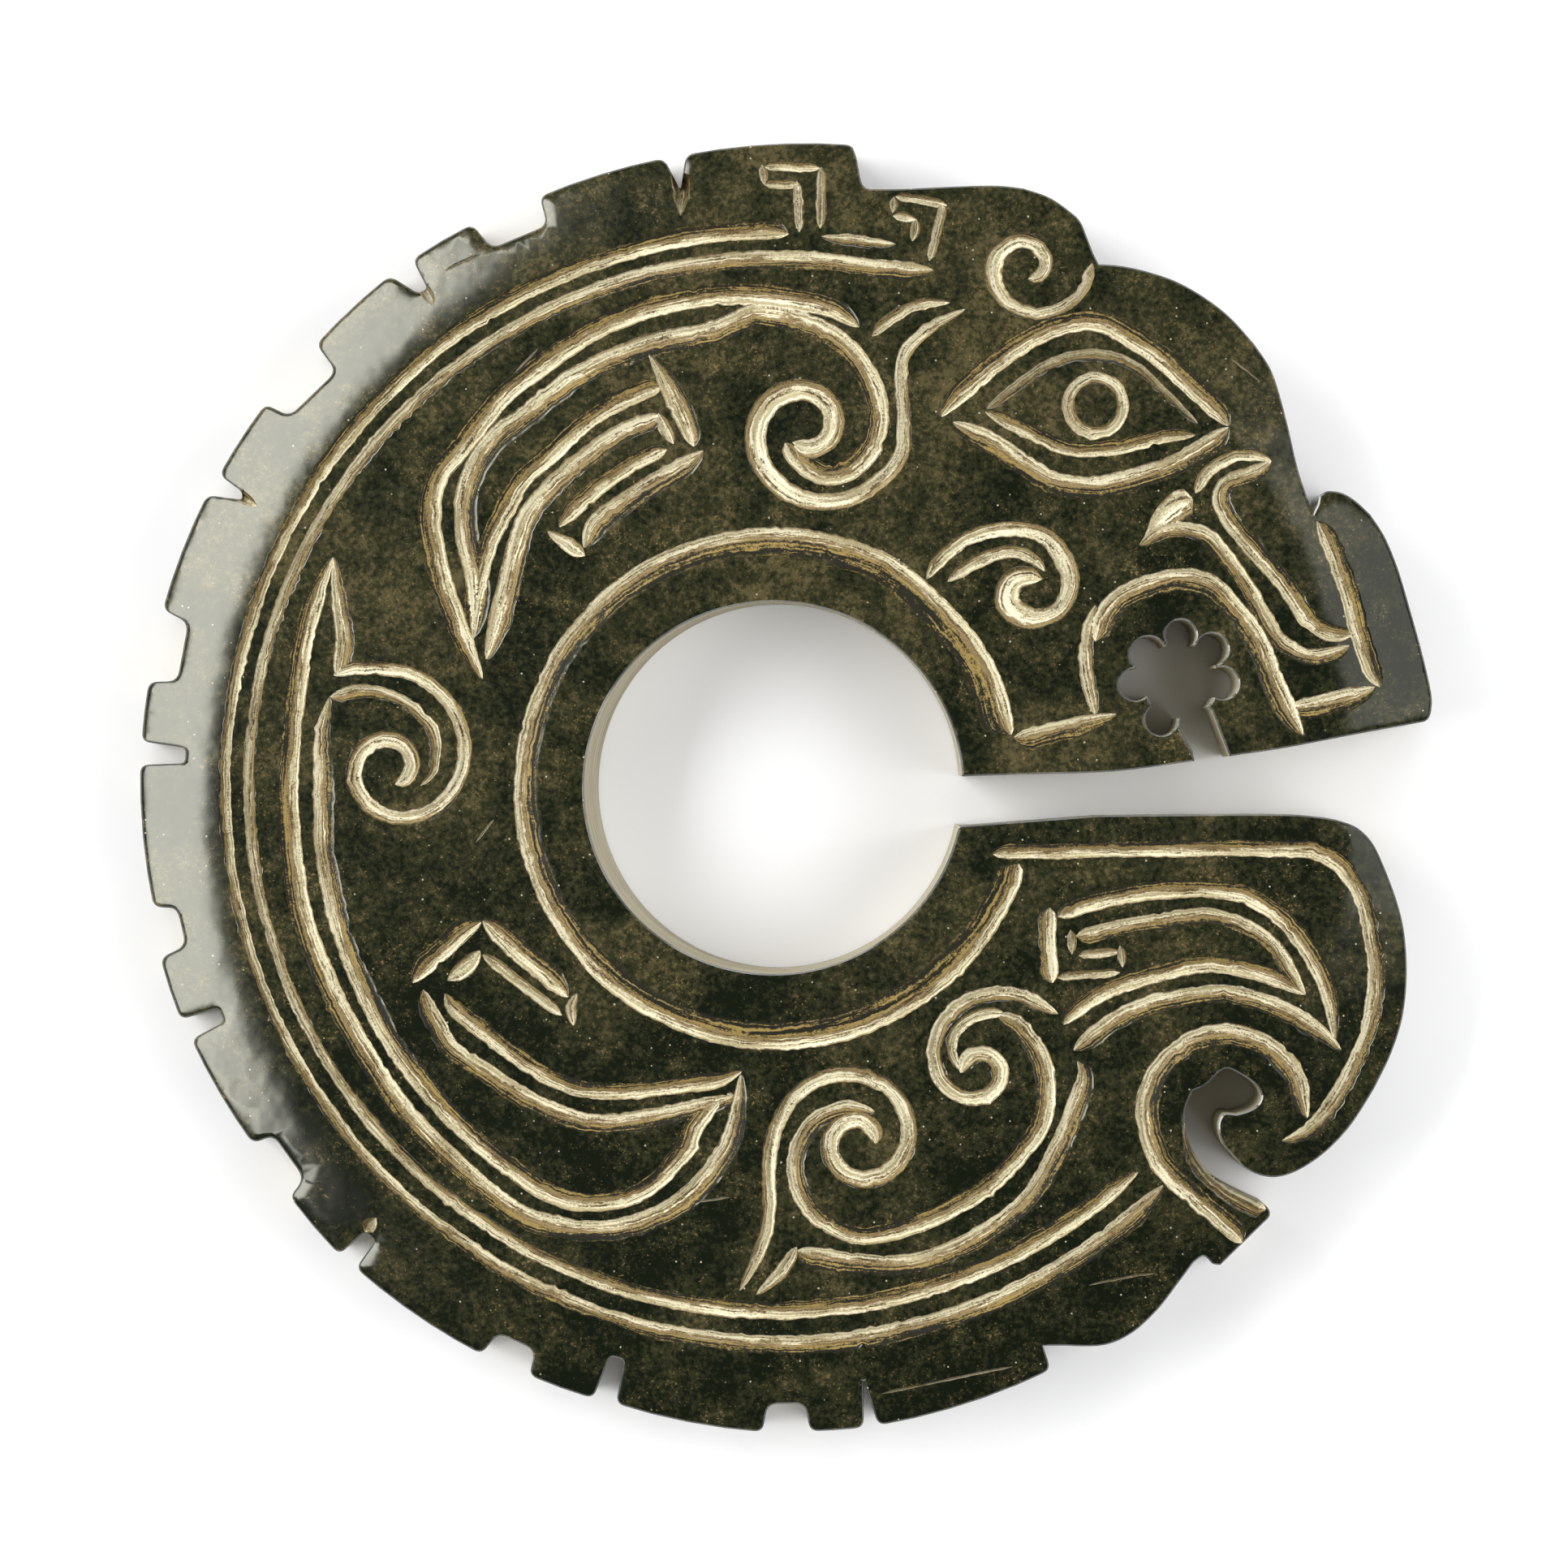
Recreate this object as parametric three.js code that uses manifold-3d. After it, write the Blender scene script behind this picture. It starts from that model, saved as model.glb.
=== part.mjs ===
/**
 * Slit disc of dark jade, carved on one face as a coiled dragon.
 *
 * One flat C-shaped plate: a notched rim for the dragon's back, its head above the slit with a
 * pierced mouth, its curled tail below it, and a leaning round hole in the middle. The carved
 * lines are slant-cut grooves: a steep wall on one side and a long shallow one on the other.
 *
 * Units are millimetres, +Z is up, and the plate lies on its plain face at z = 0 with the carved
 * face up. The head is at +X +Y and the slit opens to +X.
 */
import * as THREE from 'three';
import { mergeVertices } from 'three/addons/utils/BufferGeometryUtils.js';
import Module from 'manifold-3d';

const wasm = await Module();
wasm.setup();

// ---------------------------------------------------------------- driving dimensions

const THICKNESS = 6.8;
const MARGIN = 1; // how far a cutting tool runs past the faces that it cuts

// The rim is measured from the middle of the coil.
const COIL_X = -0.8;
const COIL_Y = 0;

// The carved face falls away in a shallow cone outside the border lines.
const CONE_START = 43.8;
const CONE_END = 54;
const CONE_SLOPE = 0.13;

// The hole is a little wider than tall, and narrows and leans towards +X on its way down.
const HOLE_TOP = { x: -1.12, y: 0.03, across: 14.6, tall: 14.34 };
const HOLE_FOOT = { x: -0.69, y: 0.18, across: 14.08, tall: 14.19 };
const HOLE_SIDES = 56;

// Grooves: the deepest line stands this share of the width away from the steep edge.
const GROOVE_DEPTH = 0.5;
const STEEP_SHARE = 0.32;
const GROOVE_LIFT = 0.2; // how far a groove's cutting tool stands proud of the face

// A groove's tip shrinks to this share of its size; a long tip gets one more station, at its knee.
const TIP_SHARE = 0.12;
const TIP_KNEE = 0.35;
const LONG_TIP = 2;
const LONGEST_TIP_SHARE = 0.45;

// Spacing of the stations that a groove is built from: by length and by how far it turns.
const STATION_RUN = 10;
const STATION_TURN = THREE.MathUtils.degToRad(32);
const TURN_PROBES = 60;

// Facets of the round tools.
const CONE_SIDES = 48;
const DRILL_SEGMENTS = 10;
const OUTLINE_SEGMENTS = 2;

const JADE = { color: 0x20261f, roughness: 0.32, metalness: 0 };

// ---------------------------------------------------------------- points on curves

const toRadians = THREE.MathUtils.degToRad;

/** A point at an angle in degrees and a radius, seen from the middle of the coil. */
function onCoil(angle, radius) {
  const turn = toRadians(angle);
  return [COIL_X + radius * Math.cos(turn), COIL_Y + radius * Math.sin(turn)];
}

/**
 * Points on a scroll, a curve whose radius runs from one value to another.
 * bow pulls the middle of that run inwards, which winds the scroll tighter at its eye.
 */
function scroll(x, y, fromAngle, toAngle, fromRadius, toRadius = fromRadius, bow = 0, step = 30) {
  const count = Math.max(2, Math.round(Math.abs(toAngle - fromAngle) / step));
  const points = [];
  for (let i = 0; i <= count; i += 1) {
    const share = i / count;
    const turn = toRadians(THREE.MathUtils.lerp(fromAngle, toAngle, share));
    const even = THREE.MathUtils.lerp(fromRadius, toRadius, share);
    const radius = even - bow * 4 * share * (1 - share);
    points.push([x + radius * Math.cos(turn), y + radius * Math.sin(turn)]);
  }
  return points;
}

const toVectors = (points) => points.map(([x, y]) => new THREE.Vector2(x, y));

// ---------------------------------------------------------------- outline of the plate

/** Teeth of the back: angles where each starts and ends, and its radius at both. */
const TEETH = [
  [83.4, 98.2, 50.0, 49.4],
  [100.2, 111.9, 49.4, 49.2],
  [118.4, 124.6, 49.5, 49.6],
  [127.1, 136.1, 49.6, 49.4],
  [143.1, 150.7, 49.4, 49.4],
  [152.8, 163.8, 49.5, 49.4],
  [170.4, 175.8, 49.2, 49.2],
  [177.9, 190.8, 49.2, 49.0],
  [195.4, 201.2, 49.4, 49.4],
  [203.2, 214.1, 49.2, 48.9],
  [220.0, 226.8, 49.1, 49.4],
  [228.7, 242.4, 49.3, 49.3],
  [247.1, 253.2, 49.2, 49.2],
  [255.3, 268.7, 49.1, 49.7],
  [272.9, 277.7, 49.7, 49.8],
  [279.0, 295.2, 49.8, 49.6],
];

/** Gaps between those teeth: angle and radius of each corner of the floor, one for a bare saw cut. */
const GAPS = [
  [[99.2, 46.7]],
  [[112.2, 46.9], [117.9, 47.1]],
  [[125.0, 47.0], [126.0, 47.2]],
  [[136.6, 46.8], [142.7, 47.3]],
  [[151.0, 47.2], [151.7, 46.9]],
  [[164.3, 47.2], [169.9, 47.0]],
  [[176.1, 45.7], [177.6, 45.7]],
  [[191.3, 47.2], [194.9, 47.2]],
  [[201.5, 46.3], [202.9, 46.3]],
  [[214.6, 47.2], [219.5, 47.3]],
  [[227.1, 46.7], [228.4, 46.7]],
  [[242.9, 47.2], [246.7, 47.2]],
  [[253.6, 45.6], [255.0, 45.6]],
  [[269.1, 47.5], [272.6, 47.5]],
  [[278.3, 46.0]],
];
const TOOTH_ROUNDING = 0.7;
const FLOOR_ROUNDING = 0.35;
const WIDE_GAP = 3; // degrees; the floor corners of a wide gap are twice as round
const TOOTH_STEP = 4; // degrees between points along a tooth

/** Ends a straight run short of a corner and turns round it. */
function roundCorner(shape, corner, next, radius) {
  const [x, y] = corner;
  const before = shape.currentPoint;
  const backLength = Math.hypot(before.x - x, before.y - y);
  const aheadLength = Math.hypot(next[0] - x, next[1] - y);
  const back = Math.min(radius, backLength / 2) / backLength;
  const ahead = Math.min(radius, aheadLength / 2) / aheadLength;
  shape.lineTo(x + (before.x - x) * back, y + (before.y - y) * back);
  shape.quadraticCurveTo(x, y, x + (next[0] - x) * ahead, y + (next[1] - y) * ahead);
}

/** The notched back, from the crest round to the tail's fin. */
function backCorners() {
  const corners = [];
  TEETH.forEach(([start, end, startRadius, endRadius], index) => {
    const steps = Math.max(1, Math.round((end - start) / TOOTH_STEP));
    for (let i = 0; i <= steps; i += 1) {
      const share = i / steps;
      const angle = THREE.MathUtils.lerp(start, end, share);
      const radius = THREE.MathUtils.lerp(startRadius, endRadius, share);
      const atCorner = i === 0 || i === steps;
      corners.push([onCoil(angle, radius), atCorner ? TOOTH_ROUNDING : 0]);
    }
    if (index < GAPS.length) {
      const wide = TEETH[index + 1][0] - end > WIDE_GAP;
      GAPS[index].forEach(([angle, radius]) => {
        corners.push([onCoil(angle, radius), wide ? FLOOR_ROUNDING * 2 : FLOOR_ROUNDING]);
      });
    }
  });
  return corners;
}

/** The whole plate in plan, counter-clockwise, with the slit open as far as the hole. */
function plateOutline() {
  const shape = new THREE.Shape();
  const through = (points) => shape.splineThru(toVectors(points));
  const corners = backCorners();
  const finFoot = [19.7, -43.0];
  shape.moveTo(5.2, 49.0);
  corners.forEach(([corner, rounding], index) => {
    const next = index + 1 < corners.length ? corners[index + 1][0] : finFoot;
    if (rounding > 0) {
      roundCorner(shape, corner, next, rounding);
    } else {
      shape.lineTo(...corner);
    }
  });

  // Fin under the tail, up to the foot of the hook's channel.
  shape.lineTo(...finFoot);
  shape.lineTo(21.2, -43.0);
  through([[24.3, -43.0], [26.5, -42.1], [28.5, -40.3], [30.2, -38.1], [31.3, -36.6]]);
  through([[32.1, -36.1], [32.8, -36.7], [33.4, -36.8]]);
  shape.lineTo(37.1, -33.2);
  shape.quadraticCurveTo(37.5, -32.7, 36.8, -32.1);

  // Channel that frees the hook, round its tip and back out over the curl of the tail.
  through([[35.3, -31.4], [33.3, -30.3], [31.7, -28.7], [30.8, -26.9], [30.6, -24.9], [31.2, -23.3]]);
  through([[32.1, -22.9], [32.8, -22.3], [33.3, -21.8], [34.0, -21.6], [35.0, -22.1]]);
  through([[36.0, -22.8], [36.5, -23.6], [36.3, -24.3], [35.6, -24.8], [34.6, -25.1]]);
  through([[33.6, -25.1], [33.2, -26.0], [33.5, -27.3], [34.3, -28.3], [35.1, -29.2]]);

  // Outside of the tail, up to the slit.
  through([[36.3, -29.8], [37.7, -30.0], [39.4, -29.5], [41.5, -28.1], [43.5, -26.0], [45.3, -23.2]]);
  through([[46.6, -20.5], [47.5, -17.6], [47.8, -14.4], [47.6, -11.2], [47.0, -8.7], [46.1, -6.3]]);
  through([[45.2, -4.4], [44.1, -3.2], [42.8, -2.6], [40.8, -2.2], [37.0, -2.0], [24.0, -2.1]]);
  shape.lineTo(13.3, -2.9);
  shape.lineTo(HOLE_TOP.x, -1);

  // Underside of the jaw, out to the corner of the nose.
  shape.lineTo(13.3, 0.9);
  shape.lineTo(19.2, 1.1);
  through([[25.2, 1.3], [31.3, 2.1], [37.7, 3.0], [43.5, 4.1], [49.0, 5.1]]);
  shape.quadraticCurveTo(49.6, 5.2, 49.7, 6.0);

  // Nose and the notch over it.
  through([[49.7, 7.3], [49.0, 10.4], [48.0, 14.0], [47.1, 17.0], [46.1, 19.4], [45.0, 21.1]]);
  through([[43.8, 22.2], [42.7, 22.8], [41.6, 22.9], [41.0, 22.5]]);
  shape.lineTo(40.9, 21.9);
  shape.lineTo(40.5, 21.1);

  // Brow and forehead, back to the crest.
  through([[40.0, 22.6], [39.3, 24.8], [38.6, 27.9], [37.9, 30.6], [37.2, 32.5], [36.0, 34.3]]);
  through([[34.2, 36.3], [32.3, 37.8], [30.0, 39.1], [27.6, 39.9], [25.6, 40.3], [24.0, 40.4]]);
  through([[23.6, 41.2], [23.1, 42.5], [22.6, 43.7], [21.8, 44.5], [20.2, 45.6], [18.2, 46.3]]);
  through([[16.0, 46.5], [12.7, 46.4], [8.7, 46.2], [6.3, 46.2]]);
  shape.quadraticCurveTo(5.7, 46.3, 5.6, 47.1);
  shape.lineTo(5.3, 48.7);
  return shape;
}

// ---------------------------------------------------------------- carved lines

/**
 * One carved line.
 * width and endWidth span its steep channel, slope is the shallow side beyond it, side is +1 where
 * that side lies left of the way the line runs and -1 where it lies right. A line with no slope is
 * an even V. start and end are the lengths over which its tips rise out of the stone.
 */
function line(points, { width = 0.9, endWidth = width, slope = 0, side = 1, start = 1.5, end = 1.5 } = {}) {
  return { points, width, endWidth, slope, side, start, end };
}

/** The double border that follows the notched back from the crest to the fin. */
function spineBorder() {
  const outer = scroll(-0.65, 0.1, 89, 314, 42.6, 42.6, 0, 7);
  const inner = [[11.2, 39.9], [8.8, 40.2], ...scroll(-0.8, 0.25, 80, 313, 40.75, 40.75, 0, 7)];
  return [
    line([[2.6, 42.5], [5.5, 42.3], [8.3, 41.9]], { width: 0.7, slope: 0.3, side: -1, start: 2, end: 2 }),
    line(outer, { slope: 0.6, side: -1, start: 1, end: 3 }),
    line(inner, { slope: 0.6, side: 1, start: 2, end: 3 }),
  ];
}

/** The long mane: a pair of lines that rise from a point and end in the curl behind the eye. */
function mane() {
  const outer = [
    [5.5, 35.5], ...scroll(-3.6, 13.1, 76, 132, 24.6, 24.6, 0, 14),
    [-22.1, 29.6], [-24.8, 26.2], [-26.7, 23.8], [-27.2, 20.7], [-26.6, 16.9], [-25.5, 13.6], [-23.5, 8.4],
  ];
  const inner = [
    ...scroll(2.1, 25.9, 163, 470, 2.4, 11.6, 4.2), ...scroll(-3.1, 9.6, 96, 134, 26.0, 26.0, 0, 14),
    [-22.0, 27.8], [-24.1, 25.3], [-25.2, 22.0], [-25.0, 18.8], [-24.2, 15.6], [-24.2, 11.6],
  ];
  const curl = [
    [13.7, 36.9], [11.6, 35.9], [10.0, 34.7], [8.9, 33.3], [8.7, 31.4], [8.9, 28.2],
    ...scroll(1.6, 27.9, -20, -495, 7.4, 1.8, 1.8),
  ];
  return [
    line(outer, { width: 1.1, slope: 0.7, side: -1, start: 2, end: 4 }),
    line(inner, { width: 1.1, slope: 0.7, side: 1, start: 0.6, end: 3 }),
    line(curl, { width: 0.9, endWidth: 1.6, start: 3, end: 1 }),
    line([[6.5, 34.8], [8.1, 36.2], [10.0, 37.2], [12.5, 37.4]], { width: 0.8, start: 1, end: 2 }),
  ];
}

/** The short plume inside the mane. */
function innerPlume() {
  const outerTop = [[-9.7, 30.8], [-13.3, 29.4], [-17.3, 27.0], [-19.9, 24.4], [-22.0, 21.1]];
  const outerFoot = [[-23.2, 17.6], [-23.9, 15.1], [-24.2, 11.6]];
  const innerTop = [[-9.7, 28.8], [-13.3, 27.4], [-17.5, 25.1], [-19.4, 22.4], [-21.0, 18.3]];
  const innerFoot = [[-21.8, 15.1], [-22.5, 11.9], [-23.2, 9.4]];
  const crest = [[-10.6, 33.4], [-9.2, 30.8], [-8.0, 28.5], [-7.1, 26.1]];
  const heart = [[-6.5, 26.0], [-10.3, 23.8], [-13.3, 21.8], [-15.1, 20.1], [-15.8, 18.7]];
  return [
    line([...outerTop, ...outerFoot], { slope: 0.7, side: -1, start: 0.8, end: 2 }),
    line([...innerTop, ...innerFoot], { width: 1.3, slope: 0.4, side: 1, start: 0.8, end: 3 }),
    line([[-9.3, 26.0], [-12.3, 24.6], [-15.3, 22.6], [-17.5, 20.1]], { slope: 0.5, side: -1, start: 0.8 }),
    line(heart, { slope: 0.8, side: 1, start: 2 }),
    line(crest, { width: 1.2, slope: 0.4, start: 3, end: 1 }),
    line([[-10.0, 29.0], [-9.3, 27.8], [-8.7, 26.6]], { start: 1, end: 1 }),
    line([[-18.6, 19.9], [-17.1, 18.7], [-15.6, 17.7]], { start: 2, end: 0.8 }),
  ];
}

/** The great plume that sweeps round the body, with the curl at its root. */
function bodyPlume() {
  const root = [-35.0, 17.8];
  const outer = [
    root, [-36.2, 14.4], [-37.1, 10.8], [-37.6, 6.4], [-38.0, 2.4], [-38.1, -1.6], [-37.5, -7.6],
    [-36.5, -11.6], [-34.7, -15.8], [-32.3, -20.2], [-28.6, -25.4], [-23.4, -30.4],
    ...scroll(-15.2, -22.2, -110, 1, 11.6),
  ];
  const inner = [
    [-35.3, 7.0], [-36.0, 4.6], ...scroll(-0.8, -0.8, 176, 236, 35.4, 35.4, 0, 12), [-18.5, -31.4],
    ...scroll(-14.8, -24.1, -95, -30, 8.1), [-6.8, -26.0], [-4.9, -23.7],
  ];
  const lining = [
    [-35.3, 7.0], [-33.3, 7.6], [-31.3, 7.5], [-29.3, 6.6], [-27.5, 5.0], [-27.0, 3.4], [-27.3, 1.2],
    [-28.3, 0.2],
  ];
  return [
    line([root, [-34.7, 14.4], [-34.3, 11.4], [-34.7, 8.6]], { width: 1.1, slope: 0.4, start: 5, end: 1 }),
    line(outer, { width: 1.0, slope: 0.7, side: -1, start: 4, end: 5 }),
    line(inner, { slope: 0.7, side: 1, start: 4, end: 2 }),
    line([[-35.0, 8.7], ...scroll(-30.5, 1.75, 110, -440, 7.9, 1.5, 1.8)], { width: 1.1, start: 1, end: 1 }),
    line(lining, { width: 0.8, slope: 0.4, side: -1, start: 1, end: 2 }),
  ];
}

/** The angular hook and crescent low on the body. */
function bodyCrescent() {
  const outer = [[-28.1, -15.5], [-26.7, -18.1], ...scroll(-12.7, -8.85, 224, 296, 16.8), [-4.7, -23.5]];
  const inner = [[-26.4, -15.8], ...scroll(-12.2, -7.5, 219, 290, 16.4), [-3.5, -21.8]];
  return [
    line([[-28.9, -15.0], [-26.2, -12.5], [-23.6, -10.3]], { slope: 0.9 }),
    line([[-23.5, -10.2], [-20.6, -13.1], [-16.9, -16.1]], { width: 1.0, slope: 0.7 }),
    line([[-26.2, -14.8], [-24.7, -13.8], [-23.7, -12.5]], { width: 1.1, start: 1, end: 1 }),
    line([[-23.5, -12.8], [-20.6, -15.1], [-17.4, -17.5]], { width: 0.8, start: 1, end: 1 }),
    line([[-16.2, -15.8], [-16.7, -16.8], [-16.5, -18.3]], { width: 0.8, start: 1, end: 1 }),
    line(outer, { slope: 0.7, side: -1, start: 1.5, end: 2.5 }),
    line(inner, { width: 0.8, slope: 0.6, side: 1, end: 3 }),
  ];
}

/** The collar round the hole and the line under the jaw. */
function collar() {
  const ring = [
    [17.2, 4.1], [16.9, 5.3], [15.4, 9.6], [12.3, 13.7],
    ...scroll(-1.0, 0.1, 62, 337, 19.35, 19.8, 0, 12), [17.7, -5.8],
  ];
  return [
    line(ring, { width: 1.2, slope: 0.9, side: 1, start: 1, end: 0.5 }),
    line([[17.4, 3.9], [21.2, 4.9], [25.3, 5.7]], { slope: 0.9, side: -1, start: 1, end: 3 }),
  ];
}

/** Mouth, lip and nose. */
function muzzle() {
  const mouth = [
    [23.7, 11.3], [23.9, 12.8], [24.8, 14.3], [26.1, 15.3], [28.2, 16.1], [30.4, 16.5], [32.8, 15.9],
    [34.7, 14.1], [36.5, 11.5], [37.9, 8.1], [39.7, 4.1],
  ];
  const nose = [[40.8, 20.6], [42.0, 17.8], [43.0, 14.9], [43.8, 11.9], [44.8, 9.0], [45.7, 7.8]];
  const upperLip = [
    [37.3, 25.2], [35.7, 24.4], [33.7, 23.7], [33.1, 22.2], [34.1, 20.2], [36.1, 17.9], [38.3, 15.3],
    [39.6, 13.3], [40.8, 12.2], [41.9, 11.7], [42.8, 11.7], [43.7, 12.0],
  ];
  const lowerLip = [
    [27.1, 18.7], [28.7, 19.9], [30.5, 20.1], [32.3, 19.7], [33.7, 18.3], [35.3, 16.1], [36.7, 13.7],
    [38.1, 11.5], [39.7, 10.5], [41.3, 10.4], [43.3, 11.0],
  ];
  return [
    line([[23.7, 14.1], [22.9, 11.6], [23.0, 8.8], [23.7, 5.6]], { slope: 0.2, start: 2, end: 1.5 }),
    line(mouth, { width: 1.0, slope: 0.9, side: -1, start: 1, end: 2.5 }),
    line([[38.7, 6.3], [42.0, 7.0], [45.3, 7.8]], { slope: 0.9, side: -1, start: 1, end: 2 }),
    line(nose, { slope: 0.6, side: 1 }),
    line([[31.4, 22.7], [32.3, 24.2], [34.1, 25.4], [35.9, 25.6], [37.3, 25.2]], { start: 1, end: 1.5 }),
    line(upperLip, { slope: 0.5, side: 1 }),
    line([[31.7, 21.7], [30.1, 21.2], [28.6, 20.1], [27.3, 18.9]], { width: 1.7, start: 2.5, end: 2 }),
    line(lowerLip, { width: 0.8, slope: 0.5, side: -1 }),
  ];
}

/** The almond eye with its double lids and round pupil. */
function eye() {
  const upperLid = [
    [11.8, 28.6], [14.7, 31.2], [17.7, 33.6], [20.7, 35.2], [23.8, 35.6], [26.3, 34.4], [28.9, 32.6],
    [31.3, 30.4], [34.0, 27.9],
  ];
  const lowerLid = [
    [12.7, 28.2], [15.7, 27.0], [18.7, 25.0], [21.0, 23.8], [23.7, 23.6], [26.6, 24.2], [30.0, 25.4],
    [34.0, 27.8],
  ];
  const upperLine = [
    [15.3, 29.2], [17.7, 31.2], [20.2, 32.8], [22.7, 33.5], [25.2, 33.3], [27.2, 32.4], [28.9, 30.8],
    [31.6, 28.1],
  ];
  const lowerLine = [
    [15.2, 29.0], [17.7, 27.6], [20.7, 26.2], [22.7, 25.8], [25.6, 26.0], [28.6, 26.8], [31.4, 27.2],
  ];
  return [
    line(upperLid, { width: 1.0, slope: 0.8, side: 1, start: 2.5 }),
    line(lowerLid, { width: 1.0, slope: 0.8, side: -1, start: 2 }),
    line(upperLine, { width: 0.7, slope: 0.4, side: -1 }),
    line(lowerLine, { width: 0.7, slope: 0.4, side: 1 }),
    line(scroll(23.7, 29.5, 0, 360, 2.2), { start: 0, end: 0 }),
  ];
}

/** The curl over the brow and the small curl on the cheek. */
function headCurls() {
  const cheek = [[11.2, 16.9], [13.2, 18.9], ...scroll(18.4, 15.6, 121, -182, 4.8, 2.0)];
  return [
    line(scroll(18.5, 40.3, 2, -450, 5.0, 1.1, 0.9), { width: 0.9, endWidth: 1.3, start: 1, end: 1 }),
    line(cheek, { width: 1.0, endWidth: 1.5, end: 0.8 }),
    line([[16.4, 15.7], [17.4, 16.3], [19.2, 16.1]], { width: 1.2, start: 1, end: 1 }),
    line([[12.4, 15.9], [14.2, 17.2], [16.4, 18.1], [18.2, 18.0], [19.8, 16.9]]),
  ];
}

/** Two angular keys on the crest, each a run of short straight cuts. */
function crestKeys() {
  const cuts = [
    [-2.0, 48.1, -1.8, 46.5],
    [-1.8, 47.9, 2.5, 47.8],
    [2.6, 47.9, 2.5, 43.1],
    [-1.8, 46.5, 1.0, 46.5],
    [0.7, 46.8, 0.9, 42.8],
    [8.2, 45.6, 8.1, 44.3],
    [8.3, 45.6, 12.3, 44.9],
    [12.0, 45.2, 10.9, 40.6],
    [8.1, 44.1, 9.9, 43.8],
    [9.9, 43.9, 9.6, 42.1],
  ];
  return cuts.map(([x1, y1, x2, y2]) => line([[x1, y1], [x2, y2]], { width: 0.7, start: 0.5, end: 0.7 }));
}

/** The tail's border and the leaf inside it, with the small key at the leaf's foot. */
function tailLeaf() {
  const border = [
    [15.8, -5.1], [19.2, -5.1], [28.2, -4.9], [39.1, -4.9], [40.9, -5.2], [42.7, -6.4], [44.2, -8.8],
    [44.8, -11.2], [45.2, -14.3], [44.6, -18.6], [43.2, -21.9], [41.4, -24.9], [39.7, -26.5], [38.1, -27.2],
  ];
  const top = [
    [20.8, -9.9], [24.2, -8.9], [28.2, -8.2], [32.2, -8.1], [35.2, -8.5], [38.1, -10.4], [40.1, -13.1],
    [41.5, -16.0], [42.2, -19.6],
  ];
  const topLining = [
    [22.2, -11.4], [25.2, -10.6], [29.2, -9.9], [32.3, -9.6], [35.2, -10.4], [37.7, -12.2], [39.9, -15.9],
  ];
  const footLining = [
    [21.2, -18.2], [24.2, -16.0], [28.2, -14.6], [32.2, -13.8], [36.2, -14.4], [39.9, -15.9],
  ];
  const foot = [
    [22.0, -20.2], [24.2, -18.2], [27.2, -16.6], [31.2, -15.7], [34.2, -15.6], [38.1, -16.8], [41.1, -18.6],
    [42.7, -20.2],
  ];
  const key = [
    [21.8, -10.9, 21.9, -12.8],
    [22.4, -12.9, 25.6, -12.6],
    [25.6, -12.1, 25.8, -13.8],
    [20.8, -14.6, 25.6, -14.2],
  ];
  return [
    line(border, { slope: 0.6, side: 1, start: 1, end: 2.5 }),
    line([[20.2, -9.2], [20.4, -15.0]], { width: 1.1, slope: 0.4, side: -1, start: 0.7, end: 0.7 }),
    line(top, { slope: 0.6, side: 1, start: 0.8, end: 4 }),
    line(topLining, { slope: 0.6, side: -1, start: 0.8, end: 2.5 }),
    line(footLining, { slope: 0.5, side: 1, end: 2.5 }),
    line(foot, { slope: 0.7, side: -1, end: 3 }),
    ...key.map(([x1, y1, x2, y2]) => line([[x1, y1], [x2, y2]], { width: 0.6, start: 0.5, end: 0.7 })),
  ];
}

/** The curls between body and tail. */
function tailCurls() {
  const sickle = [[13.4, -21.8], [12.8, -20.6], [12.8, -19.2], [13.8, -18.0], [15.3, -17.4], [16.8, -17.4]];
  const stem = [
    ...scroll(5.5, -28.4, 71, 266, 3.7, 6.3), [7.8, -34.5], [10.5, -33.6], [13.2, -32.4], [15.9, -30.6],
    [18.0, -28.5], [19.6, -26.3], [20.1, -23.8], [20.0, -21.5], [19.2, -19.7], [17.6, -17.9], [16.1, -17.4],
  ];
  const bodyCurl = [
    [-3.7, -38.7], [-2.6, -36.7], [-1.6, -34.2], [-1.3, -31.9], [-1.4, -29.4],
    ...scroll(5.4, -27.2, 177, -368, 6.5, 1.4, 1.2),
  ];
  return [
    line(scroll(15.0, -21.6, 36, 552, 7.2, 1.7, 2.5), { endWidth: 1.2, end: 1 }),
    line(sickle, { width: 0.8, end: 1 }),
    line(stem, { width: 0.8, slope: 0.6, side: 1, end: 1 }),
    line([...scroll(6.3, -20.3, -110, -10, 16.3), [22.3, -21.0]], { slope: 0.8, side: -1, start: 1, end: 2 }),
    line(bodyCurl, { width: 1.0, endWidth: 1.3, start: 4, end: 1 }),
    line([[0.7, -35.3], [-0.5, -37.1], [-2.4, -39.0]], { start: 1, end: 2 }),
  ];
}

/** The line that follows the hook at the tip of the tail, and the bevel along the foot of its channel. */
function tailHook() {
  const hook = [[35.1, -35.1], [31.4, -31.9], [29.0, -29.7], ...scroll(33.7, -25.0, 206, -4, 6.4)];
  const bevel = [[30.9, -27.0], [32.1, -29.3], [34.4, -31.3], [36.9, -32.8]];
  return [
    line(hook, { width: 1.0, slope: 0.8, side: -1, start: 0.8, end: 2 }),
    line(bevel, { width: 0.6, slope: 0.5, side: -1, start: 3, end: 0.5 }),
  ];
}

// ---------------------------------------------------------------- solids

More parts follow.
